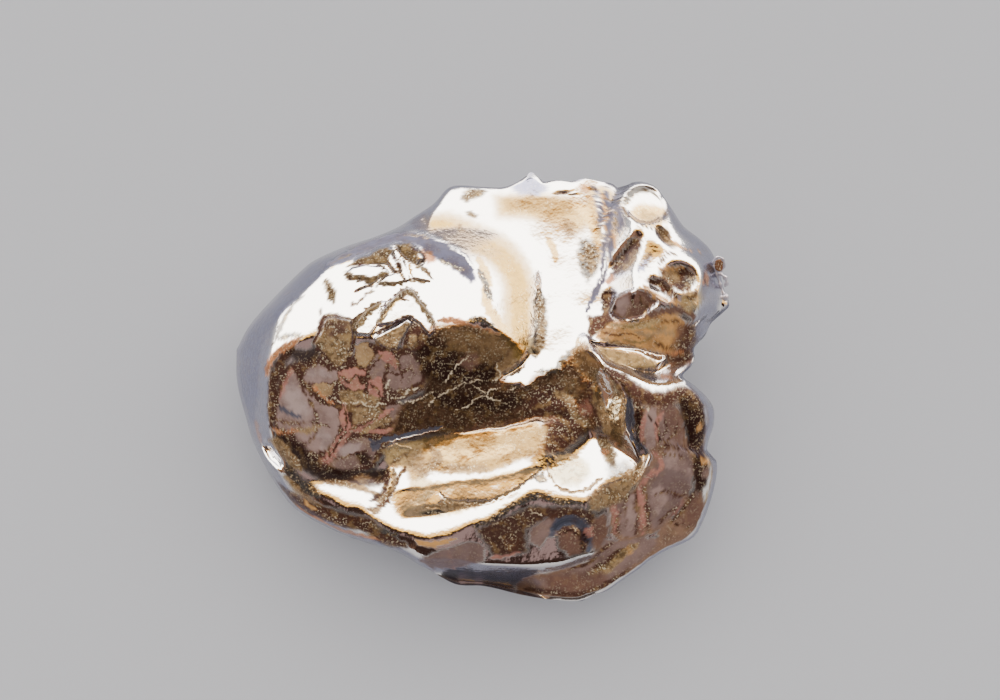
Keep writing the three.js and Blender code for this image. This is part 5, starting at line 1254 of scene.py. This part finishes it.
# Makes the skin from a sphere: upper face, rolled rim, then the belly below
def skinPoints(directions):
    polar = np.arccos(np.clip(directions[:, 2], -1, 1))
    angle = np.arctan2(directions[:, 1], directions[:, 0])
    edge = math.radians(nugget["faceShare"])
    onFace = polar < edge
    share = np.where(onFace, polar / edge, (math.pi - polar) / (math.pi - edge))
    sharp = nugget["edgeSharpness"]
    first = math.asin(nugget["rollStart"] ** (sharp / 2))
    inner = nugget["rollStart"] * np.sin(polar / 2) / math.sin(nugget["rollShare"] * edge / 2)
    around = first + (share - nugget["rollShare"]) / (1 - nugget["rollShare"]) * (math.pi / 2 - first)
    rolled = np.clip(np.sin(np.clip(around, 0, math.pi / 2)), 0, 1) ** (2 / sharp)
    front = np.where(share < nugget["rollShare"], inner, rolled)
    radius = np.where(onFace, front, np.sin(share * math.pi / 2))
    calm = np.mean([rimRadius(angle + math.radians(turn)) for turn in nugget["calmTurns"]], 0)
    reach = radius * (calm + (rimRadius(angle) - calm) * radius ** nugget["rimDetail"])
    x, y = reach * np.cos(angle), reach * np.sin(angle)
    rim = rimHeight(angle)
    power = np.where(onFace, sharp, fullness(angle))
    fill = np.sqrt(np.clip(1 - radius**power, 0, 1))
    skin, rise = paintFace(x, y)
    target = np.where(onFace, faceHeight(x, y) + rise, underside(x, y))
    outside = (~onFace) | (radius > nugget["cleanFrom"])
    skin[outside] = [*tones["clean"][0], 0.05, 0.05]
    return np.column_stack([x, y, rim + (target - rim) * fill]), skin


thread = {
    "sides": 8,
    "lumps": 0.35,
    "lumpPace": 1.1,
    "tip": 0.5,
}

# Curled threads of silver that stand on the right flank: points in mm, thickness
threads = [
    ([(13.72, 7.20, -1.10), (13.80, 7.52, -0.85), (14.02, 7.68, -0.75), (14.25, 7.60, -0.80),
        (14.38, 7.35, -0.90), (14.34, 7.05, -1.00), (14.15, 6.80, -1.10)], 0.085),
    ([(13.72, 7.30, -1.10), (13.84, 6.90, -1.10), (13.98, 6.50, -1.15), (14.12, 6.10, -1.20),
        (14.26, 5.70, -1.20), (14.40, 5.30, -1.20)], 0.11),
    ([(14.05, 6.72, -1.10), (14.28, 6.60, -0.95), (14.48, 6.40, -1.00), (14.54, 6.15, -1.05),
        (14.42, 5.92, -1.20)], 0.12),
]

# Beads of silver beside the threads: centre in mm, radii, tone
beads = [
    ((14.08, 7.20, -1.10), (0.30, 0.40, 0.30), "rust"),
    ((14.48, 5.28, -1.15), (0.20, 0.26, 0.20), "mistReflection"),
    ((14.50, 4.86, -1.35), (0.17, 0.17, 0.17), "mistReflection"),
]


def addThread(shape, points, thick):
    line = sampled(points, 4)
    rings = []
    sides = thread["sides"]
    turns = np.arange(sides) * 2 * math.pi / sides
    for i, spot in enumerate(line):
        ahead = line[min(i + 1, len(line) - 1)] - line[max(i - 1, 0)]
        ahead /= np.linalg.norm(ahead)
        aside = np.cross(ahead, (0, 0, 1))
        aside /= np.linalg.norm(aside)
        above = np.cross(aside, ahead)
        radius = thick * (1.0 + thread["lumps"] * math.sin(i * thread["lumpPace"]))
        if i in (0, len(line) - 1):
            radius *= 1.0 - thread["tip"]
        spots = [spot + radius * (aside * math.cos(a) + above * math.sin(a)) for a in turns]
        rings.append([shape.verts.new(leaned(p)) for p in spots])
    for near, far in zip(rings[:-1], rings[1:]):
        for k in range(sides):
            after = (k + 1) % sides
            shape.faces.new((near[k], near[after], far[after], far[k]))
    shape.faces.new(rings[0][::-1])
    shape.faces.new(rings[-1])


def addBead(shape, centre, radii):
    scale = Matrix.Diagonal([radius / 1000 for radius in radii] + [1.0])
    spot = Matrix.Translation(leaned(centre))
    bmesh.ops.create_icosphere(shape, subdivisions=2, radius=1.0, matrix=spot @ scale)


# The part of the sphere that is split once more
def detailed(face):
    c = face.calc_center_median()
    polar = math.acos(max(-1.0, min(1.0, c.normalized().z)))
    return polar < math.radians(nugget["fineShare"])


# Gives the vertices added last the skin of a tone
def grown(skin, shape, name):
    color, dull, grit = tones[name]
    return np.vstack([skin, np.tile([*color, dull, grit], (len(shape.verts) - len(skin), 1))])


def addNugget():
    shape = bmesh.new()
    bmesh.ops.create_icosphere(shape, subdivisions=nugget["sphereSplits"], radius=1.0)
    fine = [face for face in shape.faces if detailed(face)]
    edges = list({edge for face in fine for edge in face.edges})
    bmesh.ops.subdivide_edges(shape, edges=edges, cuts=1, use_grid_fill=True)
    bmesh.ops.triangulate(shape, faces=[face for face in shape.faces if len(face.verts) > 3])
    directions = np.array([v.co for v in shape.verts])
    directions /= np.linalg.norm(directions, axis=1)[:, None]
    points, skin = skinPoints(directions)
    lean = math.radians(pose["leanBack"])
    x, y, z = points.T
    back = y * math.cos(lean) - z * math.sin(lean)
    world = np.column_stack([x, back, y * math.sin(lean) + z * math.cos(lean)])
    world[:, 2] = np.maximum(world[:, 2], nugget["restLevel"])
    world = (world - np.array(pose["faceCentre"])) / 1000
    for vert, place in zip(shape.verts, world):
        vert.co = place
    bmesh.ops.recalc_face_normals(shape, faces=shape.faces)
    shape.normal_update()
    # The steep flanks are tinted lilac: a painted reflection of a bluish surround, weaker where the skin
    # is dull
    outward = np.array([v.normal for v in shape.verts]) @ np.array([0, -math.sin(lean), math.cos(lean)])
    steep = nugget["flankReflection"] * ramp(-outward, *nugget["flankSlope"])
    lilacReflection = np.array([*tones["lilacReflection"][0], *tones["lilacReflection"][1:]])
    skin += (lilacReflection - skin) * (steep * (1 - 0.8 * ramp(skin[:, 3], 0.2, 0.6)))[:, None]
    # the threads, and the pale beads, are coloured with a painted pale lilac reflection and highlight
    for points, thick in threads:
        addThread(shape, points, thick)
        skin = grown(skin, shape, "mistReflection")
    for centre, radii, name in beads:
        addBead(shape, centre, radii)
        skin = grown(skin, shape, name)
    bmesh.ops.recalc_face_normals(shape, faces=shape.faces)
    for face in shape.faces:
        face.smooth = True
    mesh = bpy.data.meshes.new("silverNugget")
    shape.to_mesh(mesh)
    shape.free()
    layer = mesh.color_attributes.new("stainAndPaintedLight", "FLOAT_COLOR", "POINT")
    layer.data.foreach_set("color", skin[:, :4].astype(np.float32).ravel())
    layer = mesh.attributes.new("grit", "FLOAT", "POINT")
    layer.data.foreach_set("value", skin[:, 4].astype(np.float32))
    piece = bpy.data.objects.new("silverNugget", mesh)
    bpy.context.scene.collection.objects.link(piece)
    return piece


silver = {
    "roughness": 0.11,
    "crustRoughness": 0.55,
    "crustMetal": 0.0,
    "specular": 0.08,
    "grainSize": 0.00026,  # metres
    "grainDepth": 0.00005,
    "gritDepth": 3.0,  # how much deeper the grain is where it is gritty
    # Layers of noise: size in metres, detail, where it begins and is full, least and most share
    "shade": (0.0009, 3.0, 0.42, 0.66, 0.0, 0.55),  # soft mottling of the dull skin
    "shadeColor": (0.10, 0.055, 0.045),
    "pits": (0.00030, 2.0, 0.48, 0.60, 0.0, 0.75),
    "pitColor": (0.035, 0.014, 0.008),
    "flakes": (0.00050, 2.5, 0.52, 0.64, 0.0, 0.65),
    "flakeColor": (0.50, 0.32, 0.13),
    # painted glints: bright pale-gold dots standing in for light caught by the grain, gathered in clusters
    "glints": (0.00012, 2.0, 0.565, 0.625, 0.0, 1.0),
    "glintClusters": (0.00090, 1.5, 0.40, 0.60, 0.15, 1.0),  # where the specks gather
    "glintColor": (1.0, 0.86, 0.58),
    "dullFull": 0.9,  # the dullness at which the skin is all crust
}


def silverMaterial():
    material = bpy.data.materials.new("nativeSilver")
    material.use_nodes = True
    nodes = material.node_tree.nodes
    links = material.node_tree.links
    shader = nodes["Principled BSDF"]
    coords = nodes.new("ShaderNodeTexCoord")

    def attribute(name):
        node = nodes.new("ShaderNodeAttribute")
        node.attribute_name = name
        return node.outputs

    def noise(size, detail):
        node = nodes.new("ShaderNodeTexNoise")
        node.inputs["Scale"].default_value = 1.0 / size
        node.inputs["Detail"].default_value = detail
        links.new(coords.outputs["Object"], node.inputs["Vector"])
        return node.outputs[0]

    def mapped(value, low, high, toLow, toHigh):
        node = nodes.new("ShaderNodeMapRange")
        links.new(value, node.inputs["Value"])
        for name, amount in (("From Min", low), ("From Max", high), ("To Min", toLow), ("To Max", toHigh)):
            node.inputs[name].default_value = amount
        return node.outputs["Result"]

    def product(first, second):
        node = nodes.new("ShaderNodeMath")
        node.operation = "MULTIPLY"
        for socket, value in zip(node.inputs, (first, second)):
            links.new(value, socket)
        return node.outputs[0]

    def tinted(base, share, name):
        node = nodes.new("ShaderNodeMix")
        node.data_type = "RGBA"
        links.new(share, node.inputs[0])
        links.new(base, node.inputs[6])
        node.inputs[7].default_value = (*silver[name], 1)
        return node.outputs[2]

    def layer(name, share):
        size, detail, *steps = silver[name]
        return product(mapped(noise(size, detail), *steps), share)

    stainAndPaintedLight = attribute("stainAndPaintedLight")
    grit = attribute("grit")["Fac"]
    shade = layer("shade", stainAndPaintedLight["Alpha"])
    pits = layer("pits", grit)
    flakes = layer("flakes", grit)
    # painted glints scattered over the gritty skin
    glints = layer("glints", layer("glintClusters", grit))
    color = tinted(tinted(stainAndPaintedLight["Color"], shade, "shadeColor"), flakes, "flakeColor")
    color = tinted(tinted(color, pits, "pitColor"), glints, "glintColor")
    links.new(color, shader.inputs["Base Color"])
    full = silver["dullFull"]
    metal = mapped(stainAndPaintedLight["Alpha"], 0.0, full, 1.0, silver["crustMetal"])
    links.new(metal, shader.inputs["Metallic"])
    rough = mapped(stainAndPaintedLight["Alpha"], 0.0, full, silver["roughness"], silver["crustRoughness"])
    links.new(rough, shader.inputs["Roughness"])
    shader.inputs["Specular IOR Level"].default_value = silver["specular"]
    relief = nodes.new("ShaderNodeBump")
    relief.inputs["Distance"].default_value = silver["grainDepth"]
    depth = mapped(grit, 0.0, 1.0, 1.0 / silver["gritDepth"], 1.0)
    links.new(depth, relief.inputs["Strength"])
    links.new(noise(silver["grainSize"], 1.5), relief.inputs["Height"])
    links.new(relief.outputs[0], shader.inputs["Normal"])
    return material


piece = addNugget()
piece.data.materials.append(silverMaterial())
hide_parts("silver_nugget")
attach(piece, "root")
print("stage: nugget made", len(piece.data.polygons))
